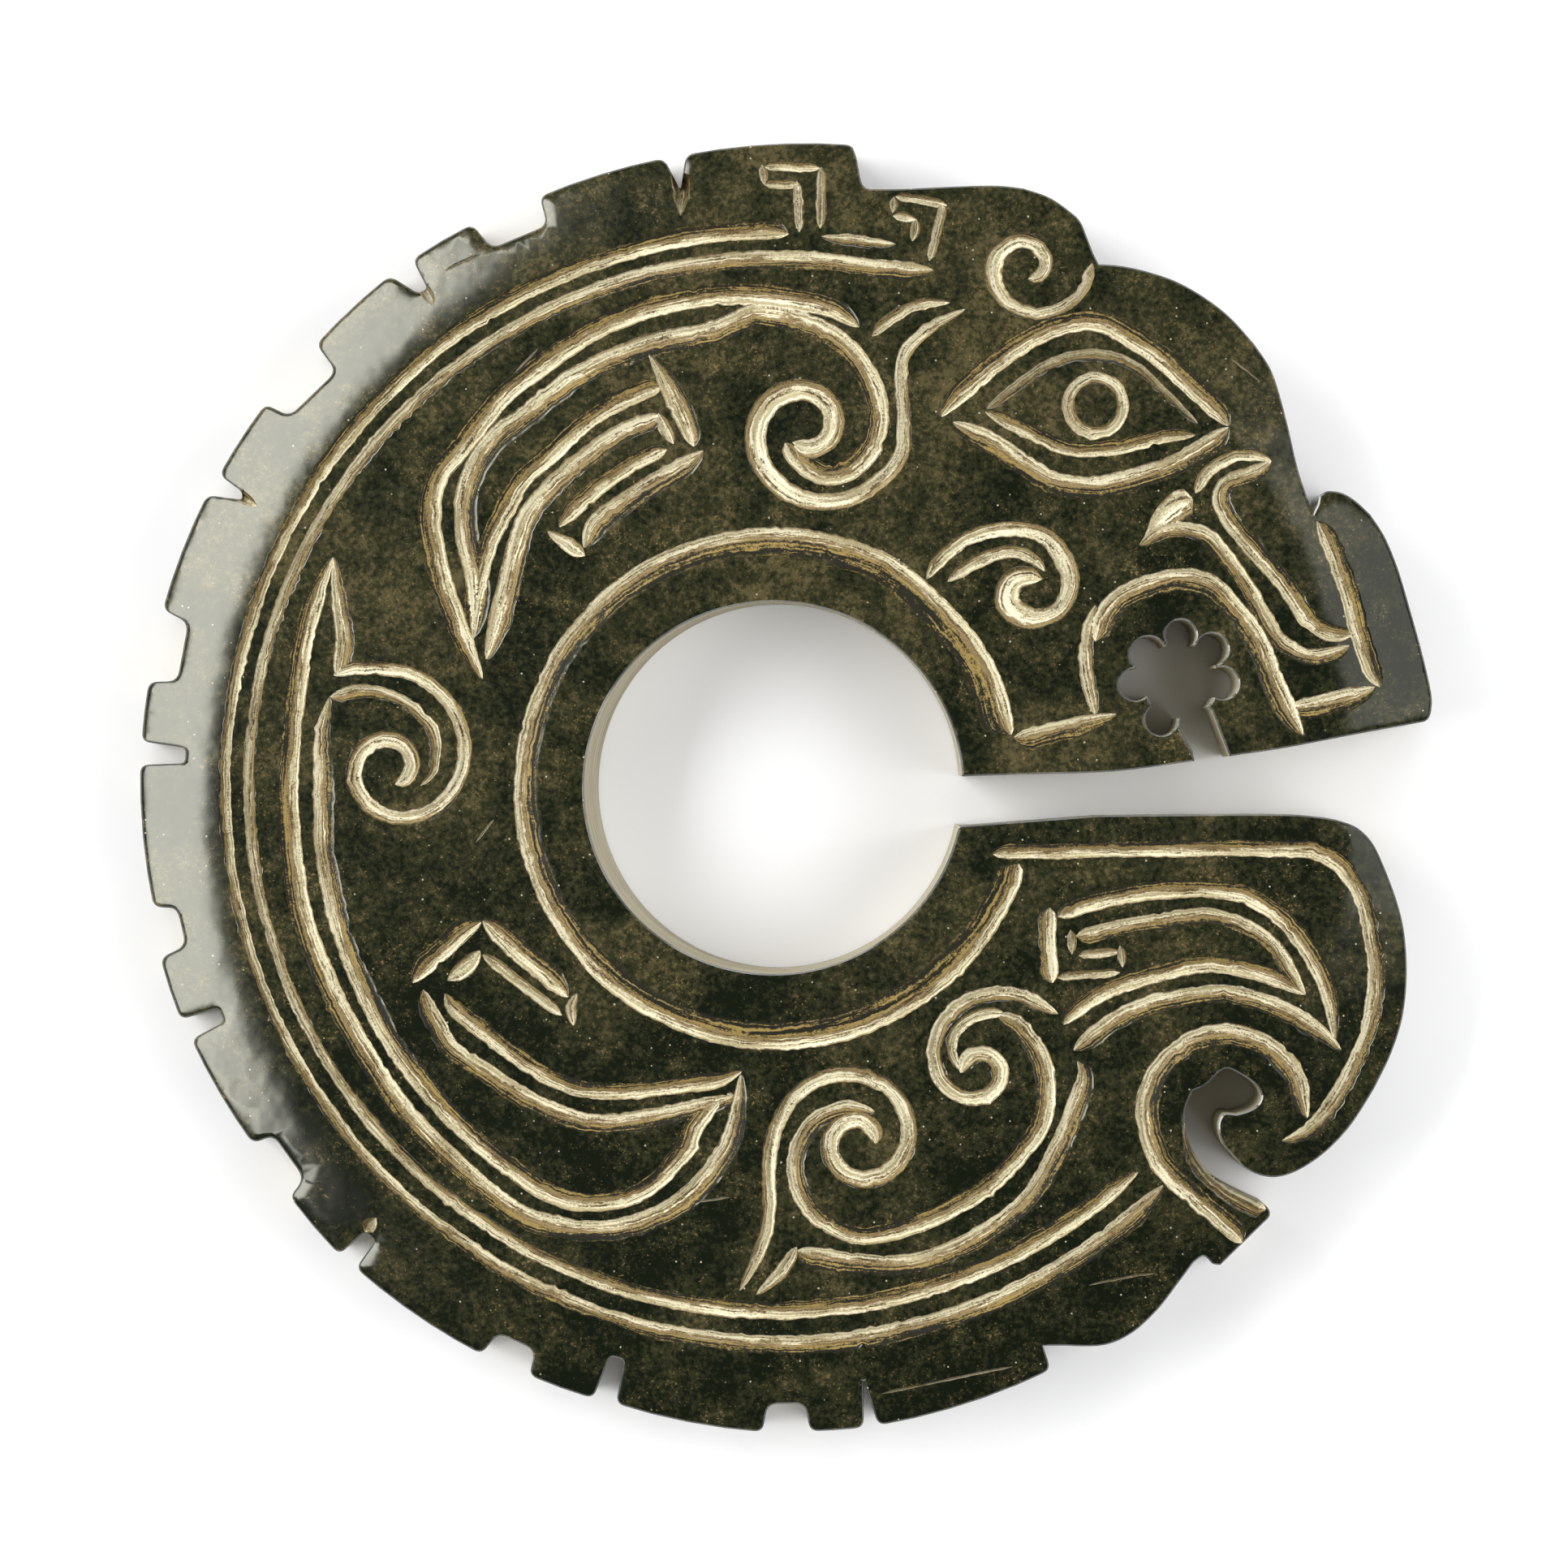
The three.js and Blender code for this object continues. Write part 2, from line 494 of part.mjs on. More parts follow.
/** A manifold-3d solid from a closed three.js geometry. */
function toSolid(geometry) {
  const bare = geometry.clone();
  bare.deleteAttribute('normal');
  bare.deleteAttribute('uv');
  const merged = mergeVertices(bare, 1e-4);
  return new wasm.Manifold(new wasm.Mesh({
    numProp: 3,
    vertProperties: new Float32Array(merged.attributes.position.array),
    triVerts: new Uint32Array(merged.index.array),
  }));
}

/** A three.js geometry from a manifold-3d solid. */
function toGeometry(solid) {
  const mesh = solid.getMesh();
  const geometry = new THREE.BufferGeometry();
  geometry.setAttribute('position', new THREE.BufferAttribute(mesh.vertProperties, 3));
  geometry.setIndex(new THREE.BufferAttribute(mesh.triVerts, 1));
  geometry.computeVertexNormals();
  return geometry;
}

/** A prism that cuts right through the plate. */
function throughCut(shape, curveSegments) {
  const depth = THICKNESS + 2 * MARGIN;
  const prism = new THREE.ExtrudeGeometry(shape, { depth, bevelEnabled: false, curveSegments });
  return toSolid(prism.translate(0, 0, -MARGIN));
}

/** Height of the carved face before any line is cut in it. */
function faceHeight(x, y) {
  const reach = Math.hypot(x - COIL_X, y - COIL_Y);
  return THICKNESS - CONE_SLOPE * Math.max(0, reach - CONE_START);
}

/** The ring of stone that the shallow cone round the rim takes away. */
function coneCut() {
  const fall = CONE_SLOPE * (CONE_END - CONE_START);
  const profile = toVectors([
    [CONE_START - MARGIN, THICKNESS + CONE_SLOPE * MARGIN],
    [CONE_END, THICKNESS - fall],
    [CONE_END, THICKNESS + MARGIN],
    [CONE_START - MARGIN, THICKNESS + MARGIN],
    [CONE_START - MARGIN, THICKNESS + CONE_SLOPE * MARGIN],
  ]);
  const ring = new THREE.LatheGeometry(profile, CONE_SIDES);
  ring.rotateX(Math.PI / 2);
  return toSolid(ring.translate(COIL_X, COIL_Y, 0));
}

/** The leaning, narrowing hole as a solid. */
function holeCut() {
  const plug = new THREE.CylinderGeometry(1, 1, THICKNESS + 2 * MARGIN, HOLE_SIDES);
  plug.rotateX(Math.PI / 2);
  plug.translate(0, 0, THICKNESS / 2);
  const { position } = plug.attributes;
  for (let i = 0; i < position.count; i += 1) {
    const rise = position.getZ(i) / THICKNESS;
    const at = (key) => HOLE_FOOT[key] + (HOLE_TOP[key] - HOLE_FOOT[key]) * rise;
    position.setX(i, at('x') + position.getX(i) * at('across'));
    position.setY(i, at('y') + position.getY(i) * at('tall'));
  }
  return toSolid(plug);
}

/** The flower-shaped mouth, drilled as a ring of round holes, and the saw cut that opens it. */
function mouthCuts() {
  const drills = [
    [30.3, 11.8, 1.2],
    [32.7, 10.7, 1.25],
    [33.5, 8.1, 1.25],
    [27.8, 10.3, 1.4],
    [26.8, 8.0, 1.25],
    [28.8, 5.3, 1.25],
    [30.3, 8.3, 2.9],
  ];
  const holes = drills.map(([x, y, radius]) => {
    const circle = new THREE.Shape();
    circle.absarc(x, y, radius, 0, Math.PI * 2);
    return throughCut(circle, DRILL_SEGMENTS);
  });
  const saw = [
    [30.2, 4.5], [31.2, 2.9], [31.5, 1.2], [34.4, 1.2], [34.0, 2.6], [32.7, 6.0], [31.6, 7.0], [30.3, 6.0],
  ];
  return [...holes, throughCut(new THREE.Shape(toVectors(saw)), 1)];
}

/** How far each tip of a line reaches, as a share of its length, and where its stations lie. */
function stationShares(cut, length, turning) {
  const startShare = Math.min(cut.start / length, LONGEST_TIP_SHARE);
  const endShare = Math.min(cut.end / length, LONGEST_TIP_SHARE);
  const shares = cut.start > 0 ? [0] : [];
  if (cut.start >= LONG_TIP) {
    shares.push(startShare * TIP_KNEE);
  }
  const body = 1 - startShare - endShare;
  const count = Math.max(1, Math.ceil(body * (length / STATION_RUN + turning / STATION_TURN)));
  for (let i = 0; i <= count; i += 1) {
    shares.push(startShare + body * i / count);
  }
  if (cut.end >= LONG_TIP) {
    shares.push(1 - endShare * TIP_KNEE);
  }
  if (cut.end > 0) {
    shares.push(1);
  }
  return { shares, startShare, endShare };
}

/** Stations along a carved line: place, direction to its left, and size from 0 to 1. */
function stations(cut) {
  const curve = new THREE.SplineCurve(toVectors(cut.points));
  const length = curve.getLength();
  let turning = 0;
  for (let i = 1; i <= TURN_PROBES; i += 1) {
    turning += curve.getTangentAt((i - 1) / TURN_PROBES).angleTo(curve.getTangentAt(i / TURN_PROBES));
  }
  const { shares, startShare, endShare } = stationShares(cut, length, turning);
  return shares.map((share) => {
    const place = curve.getPointAt(share);
    const ahead = curve.getTangentAt(share);
    const fromStart = cut.start > 0 ? share / startShare : 1;
    const fromEnd = cut.end > 0 ? (1 - share) / endShare : 1;
    const size = Math.max(TIP_SHARE, Math.sqrt(Math.min(1, fromStart, fromEnd)));
    return { share, place, left: new THREE.Vector2(-ahead.y, ahead.x), size };
  });
}

/** The triangle that a carved line cuts at one station: steep lip, bottom and shallow lip. */
function section(cut, { share, place, left, size }) {
  const width = THREE.MathUtils.lerp(cut.width, cut.endWidth, share) * size;
  const steepLip = -width / 2;
  const shallowLip = width / 2 + cut.slope * size;
  const bottom = cut.slope > 0 ? steepLip + STEEP_SHARE * width : 0;
  const depth = GROOVE_DEPTH * size;
  const point = (offset, rise) => {
    const x = place.x + left.x * offset * cut.side;
    const y = place.y + left.y * offset * cut.side;
    return new THREE.Vector3(x, y, faceHeight(x, y) + rise);
  };
  const lift = GROOVE_LIFT / depth;
  return [
    point(steepLip - (bottom - steepLip) * lift, GROOVE_LIFT),
    point(bottom, -depth),
    point(shallowLip + (shallowLip - bottom) * lift, GROOVE_LIFT),
  ];
}

/** The stone that one carved line takes away. */
function grooveCut(cut) {
  const sections = stations(cut).map((station) => section(cut, station));
  const closed = cut.start === 0;
  const last = sections.length - 1;
  const corner = (ring, side) => (closed ? ring % last : ring) * 3 + (side % 3);
  const faces = [];
  for (let ring = 0; ring < last; ring += 1) {
    for (let side = 0; side < 3; side += 1) {
      faces.push(corner(ring, side), corner(ring + 1, side), corner(ring + 1, side + 1));
      faces.push(corner(ring, side), corner(ring + 1, side + 1), corner(ring, side + 1));
    }
  }
  if (!closed) {
    faces.push(corner(0, 0), corner(0, 1), corner(0, 2));
    faces.push(corner(last, 0), corner(last, 2), corner(last, 1));
  }
  if (cut.side > 0) {
    faces.reverse();
  }
  const kept = closed ? sections.slice(0, last) : sections;
  const vertices = kept.flatMap((ring) => ring.flatMap((vertex) => vertex.toArray()));
  return new wasm.Manifold(new wasm.Mesh({
    numProp: 3,
    vertProperties: new Float32Array(vertices),
    triVerts: new Uint32Array(faces),
  }));
}

/** The finished plate. */
function dragonPlate() {
  const blank = new THREE.ExtrudeGeometry(plateOutline(), {
    depth: THICKNESS,
    bevelEnabled: false,
    curveSegments: OUTLINE_SEGMENTS,
  });
  let plate = toSolid(blank).subtract(holeCut()).subtract(coneCut());
  mouthCuts().forEach((cut) => {
    plate = plate.subtract(cut);
  });
  const lines = [
    ...spineBorder(), ...mane(), ...innerPlume(), ...bodyPlume(), ...bodyCrescent(), ...collar(), ...muzzle(),
    ...eye(), ...headCurls(), ...crestKeys(), ...tailLeaf(), ...tailCurls(), ...tailHook(),
  ];
  lines.forEach((cut) => {
    plate = plate.subtract(grooveCut(cut));
  });
  return toGeometry(plate);
}

// ---------------------------------------------------------------- scene graph

const jade = new THREE.MeshStandardMaterial({ name: 'polished dark jade', ...JADE });
const plate = new THREE.Mesh(dragonPlate(), jade);
plate.name = 'dragon_slit_disc';

const group = new THREE.Group();
group.name = 'jade slit disc';
group.add(plate);

export default group;
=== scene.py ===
"""Slit disc of dark jade, carved on one face as a coiled dragon: its looks.

One flat C-shaped plate lies on its plain face with the carved face up. The plate is modelled as
a single closed mesh that follows every carved line with strips of faces, so that the slant of each
cut, its ragged lips and its tapered ends are real shape. One stone material tells the polished
face, the cuts and the ground walls apart by attributes of the mesh.

Sizes of the design are in millimetres, and become metres when the mesh is made.
"""

import logging
import math
from dataclasses import dataclass, field
from enum import Enum
from typing import Any, Iterable, Sequence

import bpy
import numpy as np
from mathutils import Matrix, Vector
from mathutils.geometry import delaunay_2d_cdt


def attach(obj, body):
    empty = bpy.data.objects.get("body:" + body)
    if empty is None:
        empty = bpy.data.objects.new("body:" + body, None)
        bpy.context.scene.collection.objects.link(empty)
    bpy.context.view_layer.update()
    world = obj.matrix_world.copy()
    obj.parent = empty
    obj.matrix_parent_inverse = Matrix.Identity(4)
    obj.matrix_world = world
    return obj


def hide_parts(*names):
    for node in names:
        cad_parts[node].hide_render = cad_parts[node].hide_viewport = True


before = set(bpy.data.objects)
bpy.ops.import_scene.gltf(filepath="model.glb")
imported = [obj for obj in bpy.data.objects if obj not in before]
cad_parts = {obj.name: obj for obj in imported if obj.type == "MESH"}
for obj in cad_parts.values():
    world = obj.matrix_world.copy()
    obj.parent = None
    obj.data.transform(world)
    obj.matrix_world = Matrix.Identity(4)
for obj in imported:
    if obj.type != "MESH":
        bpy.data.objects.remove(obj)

LOG = logging.getLogger("slit_disc")
MM = 0.001
NODE = "dragon_slit_disc"
IN_STONE = (-30.0, 8.0)  # a place in plan that is surely inside the stone
TINY = 1e-9  # keeps a length above 0
MERGE = 1e-4  # points in plan that lie closer than this become one

Point = tuple[float, float]
Points = list[Point]


# ------------------------------------------------------------------ curves of the design


COIL = (-0.8, 0.0)  # middle of the dragon's coil


def on_coil(angle: float, radius: float) -> Point:
    """A point at an angle in degrees and a radius, seen from the middle of the coil."""
    turn = math.radians(angle)
    return (COIL[0] + radius * math.cos(turn), COIL[1] + radius * math.sin(turn))


def lerp(start: float, end: float, share: float) -> float:
    """The value that lies a share of the way from start to end."""
    return start + (end - start) * share


def step_lengths(line: np.ndarray) -> np.ndarray:
    """Length of each step of a polyline."""
    return np.hypot(*np.diff(line, axis=0).T)


def running(lengths: np.ndarray) -> np.ndarray:
    """How far along a polyline each of its points lies, from the lengths of its steps."""
    return np.concatenate([[0.0], np.cumsum(lengths)])


def gaps_between(some: np.ndarray, others: np.ndarray) -> np.ndarray:
    """Distance from each of some points to each of the others."""
    return np.hypot(*(some[:, None, :] - others[None, :, :]).transpose(2, 0, 1))


def left_of(ahead: np.ndarray) -> np.ndarray:
    """Unit vectors that point to the left of the given ones."""
    unit = ahead / np.maximum(np.hypot(*ahead.T), TINY)[:, None]
    return np.column_stack([-unit[:, 1], unit[:, 0]])


def square_grid(reach: float, spacing: float) -> np.ndarray:
    """Points of a square grid in plan, from -reach to reach both ways."""
    steps = np.arange(-reach, reach, spacing)
    return np.stack(np.meshgrid(steps, steps), axis=-1).reshape(-1, 2)


def put(name: str, data: bpy.types.ID) -> bpy.types.Object:
    """Adds an object to the scene.

    Args:
        name: Name of the object.
        data: Its mesh, light or camera.

    Returns:
        The object.
    """
    made = bpy.data.objects.new(name, data)
    bpy.context.scene.collection.objects.link(made)
    return made


def scroll(
    x: float,
    y: float,
    from_angle: float,
    to_angle: float,
    from_radius: float,
    to_radius: float | None = None,
    bow: float = 0.0,
    step: float = 30.0,
) -> Points:
    """Points on a scroll, a curve whose radius runs from one value to another.

    Args:
        x: Middle of the scroll.
        y: Middle of the scroll.
        from_angle: First angle, in degrees.
        to_angle: Last angle, in degrees.
        from_radius: Radius at the first angle.
        to_radius: Radius at the last angle, the same as the first if left out.
        bow: How far the middle of the run is pulled inwards.
        step: Degrees between points.

    Returns:
        The points, in order.
    """
    last = from_radius if to_radius is None else to_radius
    count = max(2, round(abs(to_angle - from_angle) / step))
    points = []
    for i in range(count + 1):
        share = i / count
        turn = math.radians(lerp(from_angle, to_angle, share))
        radius = lerp(from_radius, last, share) - bow * 4 * share * (1 - share)
        points.append((x + radius * math.cos(turn), y + radius * math.sin(turn)))
    return points


def smooth_path(points: Sequence[Point], per_span: int = 16) -> np.ndarray:
    """A smooth curve through points, as a fine polyline.

    Args:
        points: Points that the curve passes through.
        per_span: Steps between two of them.

    Returns:
        The polyline, one row per point.
    """
    given = np.asarray(points, float)
    before = np.vstack([given[:1], given[:-2]]) if len(given) > 2 else given[:1]
    after = np.vstack([given[2:], given[-1:]]) if len(given) > 2 else given[-1:]
    start, end = given[:-1], given[1:]
    leave, arrive = (end - before) / 2, (after - start) / 2
    t = (np.arange(per_span) / per_span)[None, :, None]
    start, end, leave, arrive = (a[:, None, :] for a in (start, end, leave, arrive))
    curve = (
        (2 * start - 2 * end + leave + arrive) * t**3
        + (-3 * start + 3 * end - 2 * leave - arrive) * t**2
        + leave * t
        + start
    )
    return np.vstack([curve.reshape(-1, 2), given[-1:]])


def respaced(line: np.ndarray, spacing: float, least: int = 2) -> np.ndarray:
    """A polyline with its points set out evenly, about spacing apart.

    Args:
        line: Points of the polyline.
        spacing: Step to aim for.
        least: Fewest steps.

    Returns:
        The evenly spaced points, both ends kept.
    """
    run = running(step_lengths(line))
    count = max(least, int(math.ceil(run[-1] / spacing)))
    stations = np.linspace(0.0, run[-1], count + 1)
    return np.column_stack([np.interp(stations, run, line[:, k]) for k in (0, 1)])


# ------------------------------------------------------------------ the carved lines


@dataclass(frozen=True)
class Cut:
    """One carved line.

    points is the middle of its steep channel. widths are that channel's widths, spread evenly from
    its start to its end. slope is the width of the shallow side beyond the channel, or several
    spread in the same way, and side is +1 where that side lies left of the way the line runs and
    -1 where it lies right. start and end are the lengths over which the tips rise out of the stone.
    """

    points: Points
    widths: tuple[float, ...] = (0.9,)
    slope: float | tuple[float, ...] = 0.0
    side: int = 1
    start: float = 1.5
    end: float = 1.5
    depth: float = 0.5
    pale: float = 1.0
    ragged: float = 1.0

    @property
    def slopes(self) -> tuple[float, ...]:
        """The widths of the shallow side, from start to end."""
        return self.slope if isinstance(self.slope, tuple) else (self.slope,)

    @property
    def slanted(self) -> bool:
        """Whether the line has a shallow side at all."""
        return max(self.slopes) > 0


class DragonLines:
    """Every carved line of the dragon, from the crest to the hook of the tail."""

    def spine_border(self) -> list[Cut]:
        """The double border that follows the notched back from the crest to the fin.

        Returns:
            The cuts.
        """
        outer = scroll(-0.65, 0.1, 89, 314, 42.6, step=7)
        inner = [(11.2, 39.9), (8.8, 40.2), *scroll(-0.8, 0.25, 80, 313, 40.75, step=7)]
        return [
            Cut([(2.6, 42.5), (5.5, 42.3), (8.3, 41.9)], (0.7,), 0.3, -1, 2, 2),
            Cut(outer, (0.85, 0.8, 0.7, 0.7, 0.8, 0.85), (0.7, 0.5, 0.2, 0.12, 0.4, 0.7, 0.8), -1, 1, 3),
            Cut(inner, (0.9, 0.8, 0.75, 0.75, 0.8, 0.9), (0.7, 0.5, 0.2, 0.12, 0.12, 0.4, 0.7, 0.8), 1, 2, 3),
        ]

    def mane(self) -> list[Cut]:
        """The long mane: lines that rise from a point and end in the curl behind the eye.

        Returns:
            The cuts.
        """
        outer = [
            (5.5, 35.5), *scroll(-3.6, 13.1, 76, 132, 24.6, step=14),
            (-22.1, 29.6), (-24.8, 26.2), (-26.7, 23.8), (-27.2, 20.7), (-26.6, 16.9), (-25.5, 13.6),
            (-23.5, 8.4),
        ]
        inner = [
            *scroll(2.1, 25.9, 163, 470, 2.4, 11.6, 4.2), *scroll(-3.1, 9.6, 96, 134, 26.0, step=14),
            (-22.0, 27.8), (-24.1, 25.3), (-25.2, 22.0), (-25.0, 18.8), (-24.2, 15.6), (-24.2, 11.6),
        ]
        curl = [
            (13.7, 36.9), (11.6, 35.9), (10.0, 34.7), (8.9, 33.3), (8.7, 31.4), (8.9, 28.2),
            *scroll(1.6, 27.9, -20, -495, 7.4, 1.8, 1.8),
        ]
        return [
            Cut(outer, (1.0, 1.1), 0.7, -1, 2, 4),
            Cut(inner, (1.1,), 0.7, 1, 0.6, 3),
            Cut(curl, (0.8, 0.9, 1.1, 1.25, 1.6, 1.55, 1.4), 0, 1, 3, 1),
            Cut([(6.5, 34.8), (8.1, 36.2), (10.0, 37.2), (12.5, 37.4)], (0.8,), 0, 1, 1, 2),
        ]

    def inner_plume(self) -> list[Cut]:
        """The short plume inside the mane.

        Returns:
            The cuts.
        """
        outer = [
            (-9.7, 30.9), (-12.7, 29.6), (-15.8, 27.6), (-18.2, 25.4), (-20.2, 23.6), (-21.8, 20.9),
            (-22.7, 18.8), (-23.5, 16.1), (-24.0, 13.7), (-24.2, 11.5),
        ]
        inner = [
            (-9.8, 28.7), (-12.7, 27.6), (-15.8, 25.5), (-18.5, 23.1), (-20.2, 20.9), (-21.0, 18.5),
            (-21.6, 16.1), (-22.4, 12.9), (-23.2, 9.9),
        ]
        crest = [(-10.7, 33.4), (-10.4, 32.9), (-9.3, 30.9), (-8.2, 28.9), (-7.2, 26.3)]
        heart = [(-6.5, 26.0), (-9.5, 24.3), (-12.7, 22.3), (-15.0, 20.4), (-15.7, 18.5)]
        return [
            Cut(outer, (0.9,), 0.7, -1, 0.8, 2),
            Cut(inner, (1.0, 1.2, 1.4, 1.4), 0.4, 1, 0.8, 3),
            Cut([(-9.3, 26.1), (-12.7, 24.3), (-15.5, 22.2), (-17.6, 20.1)], (0.9,), 0.5, -1, 0.8),
            Cut(heart, (0.9,), 0.8, 1, 2),
            Cut(crest, (0.8, 1.3, 1.4, 1.1), 0.4, 1, 3, 1),
            Cut([(-10.0, 28.9), (-9.5, 27.8), (-8.8, 26.5)], (0.9,), 0, 1, 1, 1),
            Cut([(-18.5, 19.8), (-16.8, 18.6), (-15.6, 17.9)], (1.1,), 0, 1, 2, 0.8),
        ]

    def body_plume(self) -> list[Cut]:
        """The great plume that sweeps round the body, with the curl at its root.

        Returns:
            The cuts.
        """
        root = (-35.0, 17.8)
        outer = [
            root, (-36.2, 14.4), (-37.1, 10.8), (-37.6, 6.4), (-38.0, 2.4), (-38.1, -1.6), (-37.5, -7.6),
            (-36.5, -11.6), (-34.7, -15.8), (-32.3, -20.2), (-28.6, -25.4), (-23.4, -30.4),
            *scroll(-15.2, -22.2, -110, 1, 11.6),
        ]
        inner = [
            (-35.3, 7.0), (-36.0, 4.6), *scroll(-0.8, -0.8, 176, 236, 35.4, step=12), (-18.5, -31.4),
            *scroll(-14.8, -24.1, -95, -30, 8.1), (-6.8, -26.0), (-4.9, -23.7),
        ]
        lining = [
            (-35.3, 7.0), (-33.3, 7.6), (-31.3, 7.5), (-29.3, 6.6), (-27.5, 5.0), (-27.0, 3.4),
            (-27.3, 1.2), (-28.3, 0.2),
        ]
        curl = [(-35.0, 8.7), *scroll(-30.5, 1.75, 110, -440, 7.9, 1.5, 1.8)]
        return [
            Cut([root, (-34.7, 14.4), (-34.3, 11.4), (-34.7, 8.6)], (1.1,), 0.4, 1, 5, 1),
            Cut(outer, (1.0,), 0.7, -1, 4, 5),
            Cut(inner, (0.9,), 0.7, 1, 4, 2),
            Cut(curl, (0.9, 1.0, 1.0, 1.0, 1.2, 1.1), 0, 1, 1, 1),
            Cut(lining, (0.7, 0.75, 0.65), (0.3, 0.3, 0.12), -1, 1, 2),
        ]

    def body_crescent(self) -> list[Cut]:
        """The angular hook and crescent low on the body.

        Returns:
            The cuts.
        """
        outer = [(-28.1, -15.5), (-26.7, -18.1), *scroll(-12.7, -8.85, 224, 296, 16.8), (-4.7, -23.5)]
        inner = [(-26.4, -15.8), *scroll(-12.2, -7.5, 219, 290, 16.4), (-3.5, -21.8)]
        return [
            Cut([(-28.9, -15.0), (-26.2, -12.5), (-23.6, -10.3)], (0.9,), 0.9),
            Cut([(-23.5, -10.2), (-20.6, -13.1), (-16.9, -16.1)], (1.0,), 0.7),
            Cut([(-26.2, -14.8), (-24.7, -13.8), (-23.7, -12.5)], (1.1,), 0, 1, 1, 1),
            Cut([(-23.5, -12.8), (-20.6, -15.1), (-17.4, -17.5)], (0.8,), 0, 1, 1, 1),
            Cut([(-16.2, -15.8), (-16.7, -16.8), (-16.5, -18.3)], (0.8,), 0, 1, 1, 1),
            Cut(outer, (0.9,), 0.7, -1, 1.5, 2.5),
            Cut(inner, (0.8,), 0.6, 1, 1.5, 3),
        ]

    def collar(self) -> list[Cut]:
        """The collar round the hole and the line under the jaw.

        Returns:
            The cuts.
        """
        ring = [
            (17.2, 4.1), (16.9, 5.3), (15.4, 9.6), (12.3, 13.7),
            *scroll(-1.0, 0.1, 62, 337, 19.5, 19.95, step=12), (17.8, -5.8),
        ]
        return [
            Cut(ring, (1.0, 0.9, 0.85, 0.85, 0.85), (1.8, 1.6, 1.2, 0.9, 1.0, 1.3, 1.6, 1.4), 1, 1, 0.5),
            Cut([(17.4, 3.9), (21.2, 4.9), (25.3, 5.7)], (0.9,), 0.9, -1, 1, 3),
        ]

    def muzzle(self) -> list[Cut]:
        """Mouth, lips and nose.

        Returns:
            The cuts.
        """
        mouth = [
            (23.7, 11.3), (23.9, 12.8), (24.8, 14.3), (26.1, 15.3), (28.2, 16.1), (30.4, 16.5),
            (32.8, 15.9), (34.7, 14.1), (36.5, 11.5), (37.9, 8.1), (39.7, 4.1),
        ]
        nose = [(40.8, 20.6), (42.0, 17.8), (43.0, 14.9), (43.8, 11.9), (44.8, 9.0), (45.7, 7.8)]
        upper_lip = [
            (37.3, 25.2), (35.7, 24.4), (33.7, 23.7), (33.1, 22.2), (34.1, 20.2), (36.1, 17.9),
            (38.3, 15.3), (39.6, 13.3), (40.8, 12.2), (41.9, 11.7), (42.8, 11.7), (43.7, 12.0),
        ]
        lower_lip = [
            (27.1, 18.7), (28.7, 19.9), (30.5, 20.1), (32.3, 19.7), (33.7, 18.3), (35.3, 16.1),
            (36.7, 13.7), (38.1, 11.5), (39.7, 10.5), (41.3, 10.4), (43.3, 11.0),
        ]
        fan = [(31.2, 22.3), (30.2, 21.9), (29.2, 21.1), (28.3, 20.2), (27.3, 18.8)]
        return [
            Cut([(23.7, 14.1), (22.9, 11.6), (23.0, 8.8), (23.7, 5.6)], (0.9,), 0.2, 1, 2, 1.5),
            Cut(mouth, (1.0,), 0.9, -1, 1, 2.5),
            Cut([(38.7, 6.3), (42.0, 7.0), (45.3, 7.8)], (0.9,), 0.9, -1, 1, 2),
            Cut(nose, (0.9,), 0.6, 1),
            Cut([(31.4, 22.7), (32.3, 24.2), (34.1, 25.4), (35.9, 25.6), (37.3, 25.2)], (0.9,), 0, 1, 1),
            Cut(upper_lip, (0.9,), 0.5, 1),
            Cut(fan, (1.9, 2.2, 1.7, 0.9, 0.5), 0, 1, 0.25, 1.5, depth=0.35),
            Cut(lower_lip, (0.8,), 0.5, -1),
        ]

    def eye(self) -> list[Cut]:
        """The almond eye with its double lids and round pupil.

        Returns:
            The cuts.
        """
        upper_lid = [
            (11.8, 28.6), (14.7, 31.2), (17.7, 33.6), (20.7, 35.2), (23.8, 35.6), (26.3, 34.4),
            (28.9, 32.6), (31.3, 30.4), (34.0, 27.9),
        ]
        lower_lid = [
            (12.7, 28.2), (15.7, 27.0), (18.7, 25.0), (21.0, 23.8), (23.7, 23.6), (26.6, 24.2),
            (30.0, 25.4), (34.0, 27.8),
        ]
        upper_line = [
            (15.3, 29.2), (17.7, 31.2), (20.2, 32.8), (22.7, 33.5), (25.2, 33.3), (27.2, 32.4),
            (28.9, 30.8), (31.6, 28.1),
        ]
        lower_line = [
            (15.2, 29.0), (17.7, 27.6), (20.7, 26.2), (22.7, 25.8), (25.6, 26.0), (28.6, 26.8),
            (31.4, 27.2),
        ]
        return [
            Cut(upper_lid, (1.0,), 0.8, 1, 2.5),
            Cut(lower_lid, (1.0,), 0.8, -1, 2),
            Cut(upper_line, (0.55, 0.7, 0.5, 0.4), 0.3, -1, pale=0.85),
            Cut(lower_line, (0.7,), 0.5, 1),
            Cut(scroll(23.7, 29.5, 0, 360, 2.2), (0.85,), 0, 1, 0, 0),
        ]

